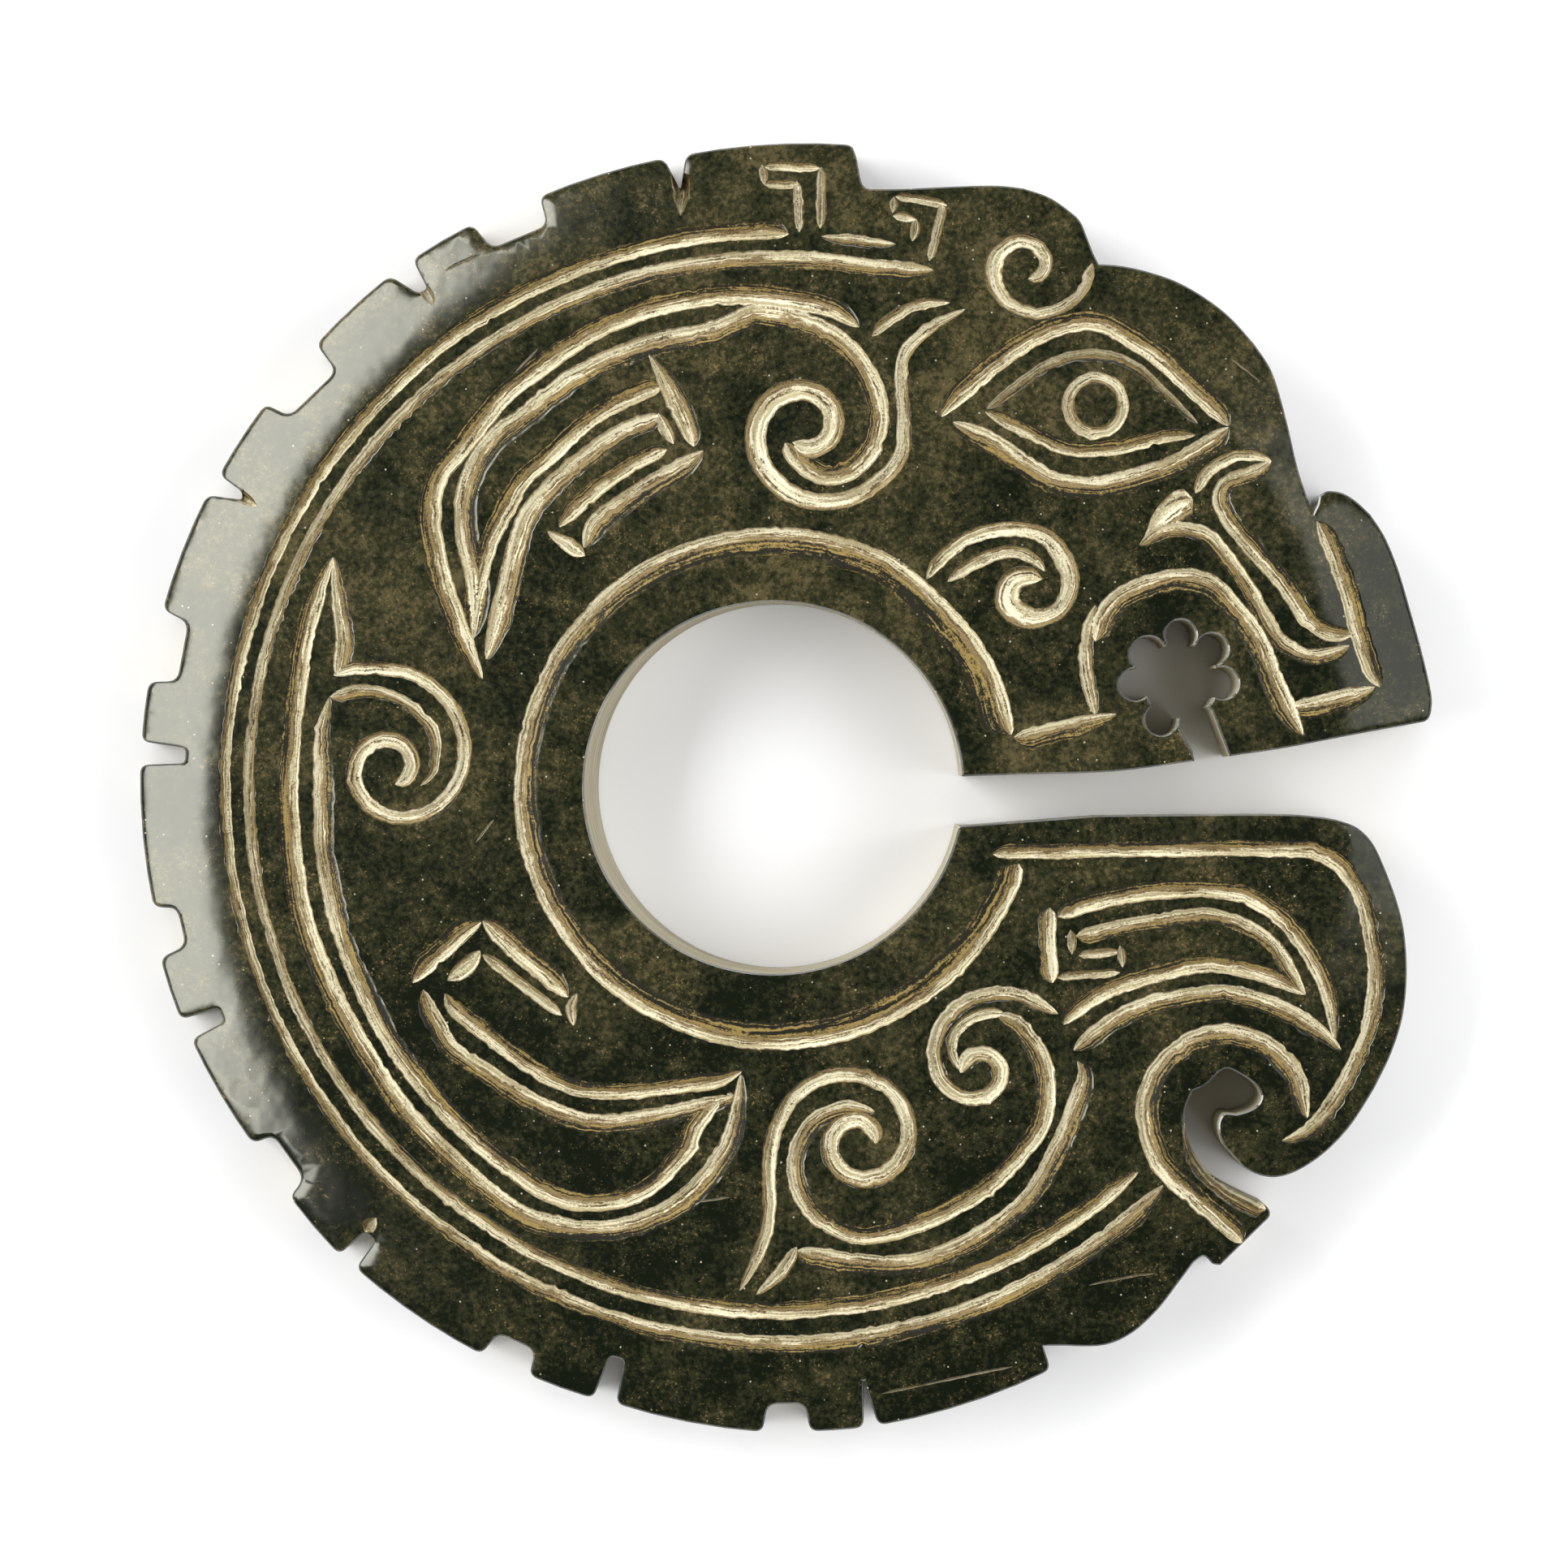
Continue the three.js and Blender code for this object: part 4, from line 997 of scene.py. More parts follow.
@dataclass
class Groove:
    """A carved line set out in stations, ready to be woven into the plate.

    A place across it is 0 at its steep lip, 1 where its channel ends and 2 at its shallow lip.
    Below 0 and above 2 it counts in millimetres.
    """

    cut: Cut
    number: int
    spacing: float = 0.42
    margin: float = 0.12
    lip_wander: float = 0.06
    slope_wander: float = 0.085
    least_slope: float = 0.12
    tip: float = 0.1
    settle: float = 1.5
    beside: float = 1.3
    line: np.ndarray = field(init=False)
    run: np.ndarray = field(init=False)
    size: np.ndarray = field(init=False)
    lips: np.ndarray = field(init=False)

    SLANTED = ((0.0, 0.25, 0.6, 1.0, 1.5, 2.0), (0.0, 1.0, 0.86, 0.5, 0.17, 0.0))
    EVEN = ((0.0, 0.22, 0.5, 0.78, 1.0, 2.0), (0.0, 0.78, 1.0, 0.84, 0.4, 0.0))

    def __post_init__(self) -> None:
        """Sets out the stations and the ragged lips."""
        self.line = respaced(smooth_path(self.cut.points), self.spacing, 3)
        self.run = running(step_lengths(self.line))
        length = self.run[-1]
        ends = np.minimum(self.full(self.run, self.cut.start), self.full(length - self.run, self.cut.end))
        self.size = np.maximum(self.tip, np.sqrt(np.clip(ends, 0, 1)))
        widths = self.spread(self.cut.widths) * self.size
        slope = np.maximum(self.spread(self.cut.slopes), self.least_slope) * self.size
        steep, foot = -widths / 2, widths / 2
        settled = np.clip(np.minimum(self.run, length - self.run) / self.settle, 0, 1)
        wander = settled * self.cut.ragged * self.size
        calm = 1.0 if self.cut.slanted else 0.6
        chance = np.random.default_rng(1000 + self.number)
        self.lips = np.column_stack([
            steep + self.ragged(chance, self.lip_wander) * wander,
            foot + self.ragged(chance, self.lip_wander) * wander,
            foot + slope + self.ragged(chance, self.slope_wander) * wander * calm,
        ])

    def full(self, run: np.ndarray, over: float) -> np.ndarray:
        """How much of its full size the groove has at runs from a tip, which may exceed 1."""
        return run / over if over > 0 else np.ones(len(run))

    def spread(self, values: Sequence[float]) -> np.ndarray:
        """Values spread evenly from the groove's start to its end, one for each station."""
        return np.interp(self.run / self.run[-1], np.linspace(0, 1, len(values)), values)

    def ragged(self, chance: np.random.Generator, amount: float) -> np.ndarray:
        """A small wander along a lip: slow waves, quick chatter and a few nicks.

        Args:
            chance: Source of the wander.
            amount: Its usual size in millimetres.

        Returns:
            One offset for each station.
        """
        count = len(self.run)
        quick = chance.normal(0, 0.55, count)
        slow = np.convolve(chance.normal(0, 1.6, count + 8), np.ones(9) / 9, "valid")
        nicks = (chance.random(count) > 0.965) * chance.normal(0, 2.0, count)
        return np.clip(quick + slow + nicks, -3, 3) * amount

    def lane(self, across: float) -> np.ndarray:
        """The line that runs at a place across the groove, beside its middle.

        Args:
            across: Place across the groove, as the class counts it.

        Returns:
            One point for each station.
        """
        steep, foot, end = self.lips.T
        if across <= 0:
            offset = steep + across
        elif across <= 1:
            offset = steep + (foot - steep) * across
        elif across <= 2:
            offset = foot + (end - foot) * (across - 1)
        else:
            offset = end + (across - 2)
        ahead = np.gradient(self.line, axis=0)
        if self.cut.start == 0:
            ahead[0] = ahead[-1] = self.line[1] - self.line[-2]
        return self.line + left_of(ahead) * self.cut.side * offset[:, None]

    def lanes(self) -> list[np.ndarray]:
        """Every line that the mesh follows along this groove.

        Returns:
            One polyline for each place.
        """
        shares = (self.SLANTED if self.cut.slanted else self.EVEN)[0]
        fine = self.cut.widths[0] < 0.3
        places = (-0.1, 0.0, 0.5, 1.0, 2.0, 2.1) if fine else (-self.margin, *shares, 2 + self.margin)
        return [self.lane(place) for place in places]

    def measure(self, points: np.ndarray) -> tuple[np.ndarray, np.ndarray, np.ndarray, np.ndarray]:
        """Measures the points beside this groove.

        Args:
            points: Points in plan.

        Returns:
            Numbers of the points in reach, the run along the groove, the place across it, and the
            depth there.
        """
        near, run, offset = Trail(self.line).measure(points, float(self.lips.max()) + self.beside)
        offset = offset * self.cut.side
        steep, foot, end = (np.interp(run, self.run, self.lips[:, k]) for k in range(3))
        across = np.where(
            offset < steep,
            offset - steep,
            np.where(
                offset < foot,
                (offset - steep) / np.maximum(foot - steep, 1e-6),
                np.where(offset < end, 1 + (offset - foot) / np.maximum(end - foot, 1e-6), 2 + offset - end),
            ),
        )
        shares, profile = self.SLANTED if self.cut.slanted else self.EVEN
        rise = self.size * np.clip((self.size - self.tip) / 0.15, 0, 1)
        depth = np.interp(across, shares, profile) * np.interp(run, self.run, rise) * self.cut.depth
        return near, run, across, depth


# ------------------------------------------------------------------ nodes


class Value:
    """A shader or geometry socket that can be used in Python arithmetic."""

    def __init__(self, tree: bpy.types.NodeTree, socket: bpy.types.NodeSocket) -> None:
        """Wraps a socket of a tree."""
        self.tree = tree
        self.socket = socket

    def math(self, operation: str, *inputs: Any, clamp: bool = False) -> "Value":
        """Adds one Math node and returns its result.

        Args:
            operation: The node's operation.
            clamp: Whether the result is kept from 0 to 1.
            inputs: Its inputs, as values or numbers.

        Returns:
            The result.
        """
        node = self.tree.nodes.new("ShaderNodeMath")
        node.operation = operation
        node.use_clamp = clamp
        for slot, given in zip(node.inputs, inputs):
            plug(self.tree, slot, given)
        return Value(self.tree, node.outputs[0])

    def __add__(self, other: Any) -> "Value":
        """Sum."""
        return self.math("ADD", self, other)

    def __radd__(self, other: Any) -> "Value":
        """Sum, reflected."""
        return self.math("ADD", other, self)

    def __sub__(self, other: Any) -> "Value":
        """Difference."""
        return self.math("SUBTRACT", self, other)

    def __rsub__(self, other: Any) -> "Value":
        """Difference, reflected."""
        return self.math("SUBTRACT", other, self)

    def __truediv__(self, other: Any) -> "Value":
        """Quotient."""
        return self.math("DIVIDE", self, other)

    def __mul__(self, other: Any) -> "Value":
        """Product."""
        return self.math("MULTIPLY", self, other)

    def __rmul__(self, other: Any) -> "Value":
        """Product, reflected."""
        return self.math("MULTIPLY", other, self)

    def larger(self, other: Any) -> "Value":
        """The larger of two values."""
        return self.math("MAXIMUM", self, other)

    def smaller(self, other: Any) -> "Value":
        """The smaller of two values."""
        return self.math("MINIMUM", self, other)

    def root(self) -> "Value":
        """Square root."""
        return self.math("SQRT", self)

    def rises(self, start: float, end: float) -> "Value":
        """0 below start and 1 above end, smooth between them; start may be the larger.

        Args:
            start: Value that gives 0.
            end: Value that gives 1.

        Returns:
            The share.
        """
        node = self.tree.nodes.new("ShaderNodeMapRange")
        node.interpolation_type = "SMOOTHSTEP"
        for name, given in (("Value", self), ("From Min", start), ("From Max", end)):
            plug(self.tree, node.inputs[name], given)
        return Value(self.tree, node.outputs[0])


def plug(tree: bpy.types.NodeTree, slot: bpy.types.NodeSocket, given: Any) -> None:
    """Links a value to a socket, or sets the socket to a number or colour.

    Args:
        tree: The tree that both belong to.
        slot: The input socket.
        given: A Value, a socket, a number, a colour or a vector.
    """
    if isinstance(given, Value):
        tree.links.new(given.socket, slot)
    elif isinstance(given, bpy.types.NodeSocket):
        tree.links.new(given, slot)
    else:
        slot.default_value = given


@dataclass
class Bench:
    """Builds the nodes of one tree."""

    tree: bpy.types.NodeTree

    def node(self, kind: str, settings: dict[str, Any] | None = None, **inputs: Any) -> bpy.types.Node:
        """Adds a node.

        Args:
            kind: Its type.
            settings: Properties of the node, which are set first.
            inputs: Its sockets' values or links, by name with _ for a space, or by number as n0.

        Returns:
            The node.
        """
        made = self.tree.nodes.new(kind)
        for name, value in (settings or {}).items():
            setattr(made, name, value)
        for name, given in inputs.items():
            numbered = name[0] == "n" and name[1:].isdigit()
            slot = made.inputs[int(name[1:])] if numbered else made.inputs[name.replace("_", " ")]
            plug(self.tree, slot, given)
        return made

    def out(self, node: bpy.types.Node, name: str | int = 0) -> Value:
        """One output of a node as a value."""
        return Value(self.tree, node.outputs[name])

    def mix(self, share: Any, first: Any, second: Any) -> Value:
        """The colour between two, by a share."""
        settings = {"data_type": "RGBA"}
        return self.out(self.node("ShaderNodeMix", settings, n0=share, n6=first, n7=second), 2)

    def attribute(self, name: str) -> Value:
        """A number that the mesh carries, as a shader reads it."""
        return self.out(self.node("ShaderNodeAttribute", {"attribute_name": name}), "Fac")

    def parts(self, vector: Any) -> tuple[Value, Value, Value]:
        """The three values of a vector."""
        split = self.node("ShaderNodeSeparateXYZ", None, n0=vector)
        return self.out(split, 0), self.out(split, 1), self.out(split, 2)

    def vector(self, x: Any, y: Any, z: Any) -> Value:
        """A vector from three values."""
        return self.out(self.node("ShaderNodeCombineXYZ", None, n0=x, n1=y, n2=z))

    def noise(self, place: Value, scale: float, detail: float = 2.0, roughness: float = 0.5) -> Value:
        """Soft noise from 0 to 1.

        Args:
            place: Where the pattern is read.
            scale: Waves per unit.
            detail: Finer waves that are added.
            roughness: Strength of the finer waves.

        Returns:
            The noise.
        """
        made = self.node(
            "ShaderNodeTexNoise", None, Vector=place, Scale=scale, Detail=detail, Roughness=roughness
        )
        return self.out(made, 0)

    def specks(self, place: Value, scale: float) -> tuple[Value, Value]:
        """Scattered grains.

        Args:
            place: Where the pattern is read.
            scale: Grains per unit.

        Returns:
            The distance to the nearest grain and a random number for that grain.
        """
        made = self.node("ShaderNodeTexVoronoi", None, Vector=place, Scale=scale)
        split = self.node("ShaderNodeSeparateColor", None, n0=self.out(made, "Color"))
        return self.out(made, "Distance"), self.out(split, 0)


# ------------------------------------------------------------------ the stone


Colour = tuple[float, float, float, float]


def tone(red: int, green: int, blue: int) -> Colour:
    """A colour from its 0 to 255 values, as shader sockets take it.

    Args:
        red: Red as a screen shows it, 0 to 255.
        green: Green, in the same way.
        blue: Blue, in the same way.

    Returns:
        The linear colour with full alpha.
    """
    parts = [c / 255 for c in (red, green, blue)]
    linear = [c / 12.92 if c <= 0.04045 else ((c + 0.055) / 1.055) ** 2.4 for c in parts]
    return (linear[0], linear[1], linear[2], 1.0)


@dataclass(frozen=True)
class Marks:
    """What the stone's shader knows of a place: where it lies on a cut, and the patterns there.

    ragged and chatter wander coarsely and finely from -0.5 to 0.5, and the streaks follow the cut.
    """

    place: Value
    across: Value
    pale: Value
    wall: Value
    ragged: Value
    chatter: Value
    streaks: Value
    wide_streaks: Value
    fine_streaks: Value


@dataclass(frozen=True)
class CarvedJade:
    """Dark jade with a mirror-like polish, pale where the tools have cut it."""

    name: str = "carved dark jade"
    deep: Colour = tone(13, 18, 8)
    dark: Colour = tone(38, 39, 23)
    cloud: Colour = tone(77, 70, 46)
    speck: Colour = tone(128, 106, 68)
    spark: Colour = tone(186, 182, 160)
    cream: Colour = tone(226, 219, 192)
    beige: Colour = tone(172, 161, 127)
    # tan is the cut's own tan, and also painted shade at each channel's steep side and far side
    tan: Colour = tone(130, 112, 78)
    # brown of the tool seams, and also painted shade at each channel's steep lip
    seam_and_lip_shade: Colour = tone(64, 49, 26)
    golden: Colour = tone(140, 119, 68)
    olive: Colour = tone(23, 22, 11)
    ground: Colour = tone(160, 153, 132)
    ground_shade: Colour = tone(126, 119, 98)
    gloss: float = 0.13
    gloss_ior: float = 1.8
    matt: float = 0.7
    matt_ior: float = 1.6
    matt_specular: float = 0.15

    def make(self) -> bpy.types.Material:
        """The material: a polished shader for the face, and a rough one for cut and ground places.

        Returns:
            The material.
        """
        material = bpy.data.materials.new(self.name)
        material.use_nodes = True
        tree = material.node_tree
        tree.nodes.clear()
        bench = Bench(tree)
        marks = self.marks(bench)
        edge = marks.across + marks.ragged * 0.6 + marks.chatter * 0.5
        channel = edge.rises(1.12, 0.9) * marks.pale
        slope = marks.across.rises(0.55, 0.7) * marks.pale
        rough_wall = marks.wall * (marks.ragged + marks.wall * 0.6).rises(-0.05, 0.3)
        carved = bench.mix(channel, self.shallow_side(bench, marks), self.pale_channel(bench, marks))
        worked = bench.mix(rough_wall, carved, self.ground_wall(bench, marks.place))
        bump = self.bump(bench, marks)
        face = bench.node(
            "ShaderNodeBsdfPrincipled", None, Base_Color=self.polished(bench, marks.place),
            Roughness=self.gloss + marks.ragged * 0.05, IOR=self.gloss_ior, Normal=bump,
        )
        carving = bench.node(
            "ShaderNodeBsdfPrincipled", None, Base_Color=worked, Roughness=self.matt, IOR=self.matt_ior,
            Specular_IOR_Level=self.matt_specular, Normal=bump,
        )
        cut_away = channel.larger(rough_wall).larger(slope * 0.95)
        shader = bench.node(
            "ShaderNodeMixShader", None, n0=cut_away, n1=bench.out(face), n2=bench.out(carving)
        )
        bench.node("ShaderNodeOutputMaterial", None, Surface=bench.out(shader))
        return material

    def marks(self, bench: Bench) -> Marks:
        """Reads what the mesh says of a place, and lays the patterns that the colours share.

        Args:
            bench: The material's bench.

        Returns:
            The marks.
        """
        where = bench.out(bench.node("ShaderNodeTexCoord"), "Object")
        place = bench.out(bench.node("ShaderNodeVectorMath", {"operation": "SCALE"}, n0=where, Scale=1 / MM))
        along, across, _ = bench.parts(bench.out(bench.node("ShaderNodeUVMap", {"uv_map": "Cut"})))
        return Marks(
            place=place,
            across=across,
            pale=bench.attribute("pale") * bench.attribute("carved").rises(0.0, 0.1),
            wall=bench.attribute("ground"),
            ragged=bench.noise(place, 2.6, 3.0) - 0.5,
            chatter=bench.noise(place, 7.0, 2.0) - 0.5,
            streaks=bench.noise(bench.vector(along * 0.3, across * 6.0, 0.0), 1.0, 3.0, 0.65),
            wide_streaks=bench.noise(bench.vector(along * 0.12, across * 2.2, 5.0), 1.0, 2.0),
            fine_streaks=bench.noise(bench.vector(along * 0.14, across * 5.0, 9.0), 1.0, 2.5, 0.65),
        )

    def shallow_side(self, bench: Bench, marks: Marks) -> Value:
        """Colour of a cut's shallow side: olive, with golden streaks near the channel.

        Args:
            bench: The material's bench.
            marks: What is known of the place.

        Returns:
            The colour.
        """
        lines = marks.fine_streaks * 1.6 + marks.chatter * 0.5 + marks.ragged * 0.5
        return bench.mix((lines - (marks.across - 1) * 0.24).rises(0.66, 0.9), self.olive, self.golden)

    def pale_channel(self, bench: Bench, marks: Marks) -> Value:
        """Colour of a cut's channel: cream and beige, tan on its steep side and towards its far side, with
        brown seams; the tan and the seam colour at the steep lip are partly the cut's own brown and partly
        painted shade of its walls.

        Args:
            bench: The material's bench.
            marks: What is known of the place.

        Returns:
            The colour.
        """
        across, ragged, chatter = marks.across, marks.ragged, marks.chatter
        # tan near the steep lip: partly the cut's own brown, partly painted shade of the steep wall
        clear_of_steep_shade = (across + ragged * 0.35).rises(-0.02, 0.2)
        lines = marks.streaks * 1.7 + marks.wide_streaks * 0.4 + ragged * 0.5 + chatter * 0.2
        # the pale share drops towards the far side of the channel (across near 1) and leaves tan there:
        # partly the cut's own colour, partly painted shade of the channel's shadow side
        tint = clear_of_steep_shade * (lines + (0.7 - across) * 0.8).rises(0.98, 1.2)
        pale = bench.mix((marks.fine_streaks + chatter * 0.3).rises(0.57, 0.42), self.cream, self.beige)
        colour = bench.mix(tint, self.tan, pale)
        seams = (marks.streaks + chatter * 0.5 - across * 0.06).rises(0.42, 0.3)
        colour = bench.mix(seams * 0.85, colour, self.seam_and_lip_shade)
        # the steep lip is darkened to the seam colour: partly brown staining, partly painted shade of the
        # steep wall
        lip = (across + ragged * 0.2).rises(0.1, -0.02)
        return bench.mix(lip * 0.6, colour, self.seam_and_lip_shade)

    def bump(self, bench: Bench, marks: Marks) -> Value:
        """Fine relief: tool streaks in the cuts, rough ground walls and a slow wave in the polish.

        Args:
            bench: The material's bench.
            marks: What is known of the place.

        Returns:
            The normal.
        """
        tooled = (marks.streaks * 0.07 + marks.ragged * 0.06) * (marks.across.rises(2.1, 0.9) * marks.pale)
        relief = tooled + marks.wall * marks.ragged * 0.05 + bench.noise(marks.place, 0.28, 2.0) * 0.035
        return bench.out(bench.node("ShaderNodeBump", None, Strength=1.0, Distance=MM, Height=relief))

    def polished(self, bench: Bench, place: Value) -> Value:
        """Colour of the polished face: mottled green-black with brown grains and a few bright ones.

        Args:
            bench: The material's bench.
            place: Place on the object, in millimetres.

        Returns:
            The colour.
        """
        # raises the tone a little towards +y: lighter at the top of the face, darker at the bottom
        high = bench.parts(place)[1] * 0.0011
        clouds = bench.noise(place, 0.10, 2.0, 0.6)
        mottle = bench.noise(place, 0.36, 5.0, 0.72)
        grain = bench.noise(place, 2.4, 3.0, 0.7)
        tone_share = mottle * 0.6 + grain * 0.62 + (clouds - 0.5) * 0.45 + high
        base = bench.mix(tone_share.rises(0.49, 0.65), self.deep, self.dark)
        base = bench.mix(tone_share.rises(0.62, 0.84), base, self.cloud)
        flecks = bench.noise(place, 4.6, 2.0, 0.7) + (mottle - 0.5) * 0.5
        base = bench.mix(flecks.rises(0.63, 0.77) * 0.68, base, self.speck)
        small, luck = bench.specks(place, 2.1)
        return bench.mix(small.rises(0.2, 0.1) * luck.rises(0.93, 0.97) * 0.7, base, self.spark)

    def ground_wall(self, bench: Bench, place: Value) -> Value:
        """Colour of the ground walls, striped level by the tool.

        Args:
            bench: The material's bench.
            place: Place on the object, in millimetres.

        Returns:
            The colour.
        """
        x, y, z = bench.parts(place)
        stripes = bench.noise(bench.vector(x * 0.12, y * 0.12, z * 3.2), 1.0, 3.0, 0.6)
        return bench.mix(stripes.rises(0.3, 0.66), self.ground_shade, self.ground)


# ------------------------------------------------------------------ the plate


@dataclass
class Shell:
    """A closed surface whose points run from the face over the rings of the wall to the base."""

    vertices: np.ndarray
    triangles: np.ndarray
    rim: np.ndarray
    wall_start: int
    base_start: int

    def filled(self, values: np.ndarray) -> np.ndarray:
        """Values of the face's points, with 0 for all others."""
        return np.concatenate([values, np.zeros(len(self.vertices) - len(values))])

    def on_wall(self, values: np.ndarray) -> np.ndarray:
        """Values of the rim's points, repeated on each ring of the wall, with 0 elsewhere.

        Args:
            values: One value for each point of the rim.

        Returns:
            One value for each point of the surface.
        """
        repeats = (self.base_start - self.wall_start) // len(values)
        spread = np.zeros(len(self.vertices))
        spread[self.wall_start:self.base_start] = np.tile(values, repeats)
        return spread

    def mesh(self, name: str) -> bpy.types.Mesh:
        """The surface as a smooth mesh.

        Args:
            name: Name of the mesh.

        Returns:
            The mesh.
        """
        mesh = bpy.data.meshes.new(name)
        mesh.from_pydata(self.vertices.tolist(), [], self.triangles.tolist())
        mesh.polygons.foreach_set("use_smooth", np.ones(len(self.triangles), bool))
        return mesh


@dataclass
class DragonPlate:
    """The carved plate: one closed mesh, dressed in one stone."""

    thickness: float = 6.8
    cone_start: float = 43.8
    cone_slope: float = 0.13
    cone_ease: float = 1.6
    edge: PlateEdge = field(default_factory=PlateEdge)
    worn_depth: float = 0.14
    wear: tuple[float, ...] = (0.12, 0.32)
    rises: tuple[float, ...] = (0.955, 0.8, 0.55, 0.3, 0.1, 0.03)
    foot_inset: float = 0.12
    hole_slack: float = 0.05
    half_width: float = 50.0
    mesh_spacing: float = 1.15
    base_spacing: float = 4.0
    pattern_shift: float = 37.0
    sharp_from: float = math.radians(13)
    even_places: tuple[tuple[float, ...], ...] = (
        (-5, 0, 0.1, 0.5, 0.8, 1, 2, 7), (-5, 0, 0.14, 0.4, 0.68, 1, 2, 7)
    )

    def make(self) -> bpy.types.Object:
        """Builds and dresses the plate.

        Returns:
            The finished object.
        """
        boundary, ground = self.edge.boundary()
        LOG.info("edge of the stone: %d points", len(boundary))
        grooves = [Groove(cut, number) for number, cut in enumerate(DragonLines().every_cut())]
        face = self.face(boundary, grooves)
        LOG.info("carved face: %d points, %d triangles", len(face.points), len(face.triangles))
        depth, share = self.carving(face.points, grooves)
        depth = np.maximum(depth, self.edge_wear(face.points, boundary))
        places, pales = self.dressing(face, grooves)
        shell = self.shell(face)
        mesh = shell.mesh("plate_pattern")
        self.store(mesh, "cut", "POINT", shell.filled(depth))
        self.store(mesh, "carved", "POINT", shell.filled(share))
        self.store(mesh, "ground", "POINT", shell.on_wall(self.rim_finish(shell.rim, boundary, ground)))
        corners = len(mesh.loops)
        shades, sheet = np.zeros(corners), np.full((corners, 2), FAR)
        shades[:pales.size] = pales.reshape(-1)
        sheet[:pales.size] = places.reshape(-1, 2)
        self.store(mesh, "pale", "CORNER", shades)
        mesh.uv_layers.new(name="Cut").data.foreach_set("uv", sheet.reshape(-1))
        mesh.update()
        return self.carved(put("plate_pattern", mesh))

    def face(self, boundary: np.ndarray, grooves: Iterable[Groove]) -> Cutout:
        """The carved face in plan, with lines of points along every groove and along the edge.

        Args:
            boundary: Edge of the stone, in order.
            grooves: Grooves to weave in.

        Returns:
            Its points and triangles.
        """
        weave = Weave()
        weave.add(boundary, closed=True, wall=True)
        for inset in self.wear:
            weave.add(self.inward(boundary, inset), closed=True)
        for groove in grooves:
            for lane in groove.lanes():
                closed = groove.cut.start == 0
                weave.add(lane[:-1] if closed else lane, closed=closed)
        chance = np.random.default_rng(7)
        grid = square_grid(self.half_width + 1, self.mesh_spacing)
        weave.scatter(grid + chance.uniform(-0.3, 0.3, grid.shape) * self.mesh_spacing)
        return weave.cut_out(seed=IN_STONE)

    def inward(self, loop: np.ndarray, inset: float) -> np.ndarray:
        """A closed loop, with the stone on its left, moved into the stone by an inset."""
        return loop + left_of(np.roll(loop, -1, axis=0) - np.roll(loop, 1, axis=0)) * inset

    def carving(self, points: np.ndarray, grooves: Iterable[Groove]) -> tuple[np.ndarray, np.ndarray]:
        """How deep the carving is at each point, in millimetres and as a share of its groove's depth.

        Args:
            points: Points of the face in plan.
            grooves: Grooves that lower them.

        Returns:
            The depth and the share for each point.
        """
        depth, share = np.zeros(len(points)), np.zeros(len(points))
        for groove in grooves:
            near, _, _, here = groove.measure(points)
            depth[near] = np.maximum(depth[near], here)
            share[near] = np.maximum(share[near], here / groove.cut.depth)
        return depth, share

    def edge_wear(self, points: np.ndarray, boundary: np.ndarray) -> np.ndarray:
        """How far the rounding of the edge lowers each point.

        Args:
            points: Points of the face in plan.
            boundary: Edge of the stone, in order.

        Returns:
            One depth for each point, in millimetres.
        """
        near, _, away = Trail(boundary, closed=True).measure(points, self.wear[-1])
        worn = np.zeros(len(points))
        profile = (self.worn_depth, self.worn_depth * 0.25, 0.0)
        worn[near] = np.interp(np.abs(away), (0.0, *self.wear), profile)
        return worn

    def dressing(self, face: Cutout, grooves: list[Groove]) -> tuple[np.ndarray, np.ndarray]:
        """Says where each corner of each triangle lies on the groove that rules the triangle.

        Args:
            face: The carved face in plan.
            grooves: All grooves.

        Returns:
            The run and the place across the ruling groove at each corner, and how pale it is.
        """
        middles = face.points[face.triangles].mean(axis=1)
        rank = np.full(len(middles), -FAR)
        ruler = np.full(len(middles), -1)
        for groove in grooves:
            near, _, across, here = groove.measure(middles)
            outside = np.maximum(-across, across - 2)
            score = np.where(here > 0, here, -np.maximum(outside, 0))
            better = score > rank[near]
            rank[near[better]] = score[better]
            ruler[near[better]] = groove.number
        places = np.full((len(face.triangles), 3, 2), FAR)
        pales = np.zeros((len(face.triangles), 3))
        for groove in grooves:
            owned = np.flatnonzero(ruler == groove.number)
            if not len(owned):
                continue
            near, run, across, _ = groove.measure(face.points)
            if not groove.cut.slanted:
                across = np.interp(across, *self.even_places)
            sheet = np.full((len(face.points), 2), FAR)
            sheet[near] = np.column_stack([run + groove.number * self.pattern_shift, across])
            corners = sheet[face.triangles[owned]]
            whole = (corners[:, :, 1] != FAR).all(axis=1)
            places[owned[whole]] = corners[whole]
            pales[owned[whole]] = groove.cut.pale
        return places, pales

    def rim_finish(self, rim: np.ndarray, boundary: np.ndarray, ground: np.ndarray) -> np.ndarray:
        """How far each place on the rim is ground rather than polished.

        Args:
            rim: Points of the rim.
            boundary: The edge that the finish of the walls was noted for.
            ground: That finish.

        Returns:
            One share for each point of the rim.
        """
        near, run, _ = Trail(boundary, closed=True).measure(rim, self.edge.same_edge)
        marks = running(step_lengths(np.vstack([boundary, boundary[:1]])))
        finish = np.zeros(len(rim))
        finish[near] = np.interp(run, marks, np.append(ground, ground[0]))
        return finish

    def shell(self, face: Cutout) -> Shell:
        """The closed surface of the plate: plan in x and y, and the share of the thickness in z.

        Args:
            face: The carved face in plan.

        Returns:
            The surface.
        """
        loop = face.boundary_loop()
        rim = face.points[loop]
        count, start = len(rim), len(face.points)
        on_hole = self.edge.hole_distance(rim) < self.hole_slack
        foot = self.inward(self.leaned(rim, on_hole, 0.0), self.foot_inset)
        under = Weave()
        under.add(foot, closed=True, wall=True)
        under.scatter(square_grid(self.half_width, self.base_spacing))
        base = under.cut_out(seed=IN_STONE)

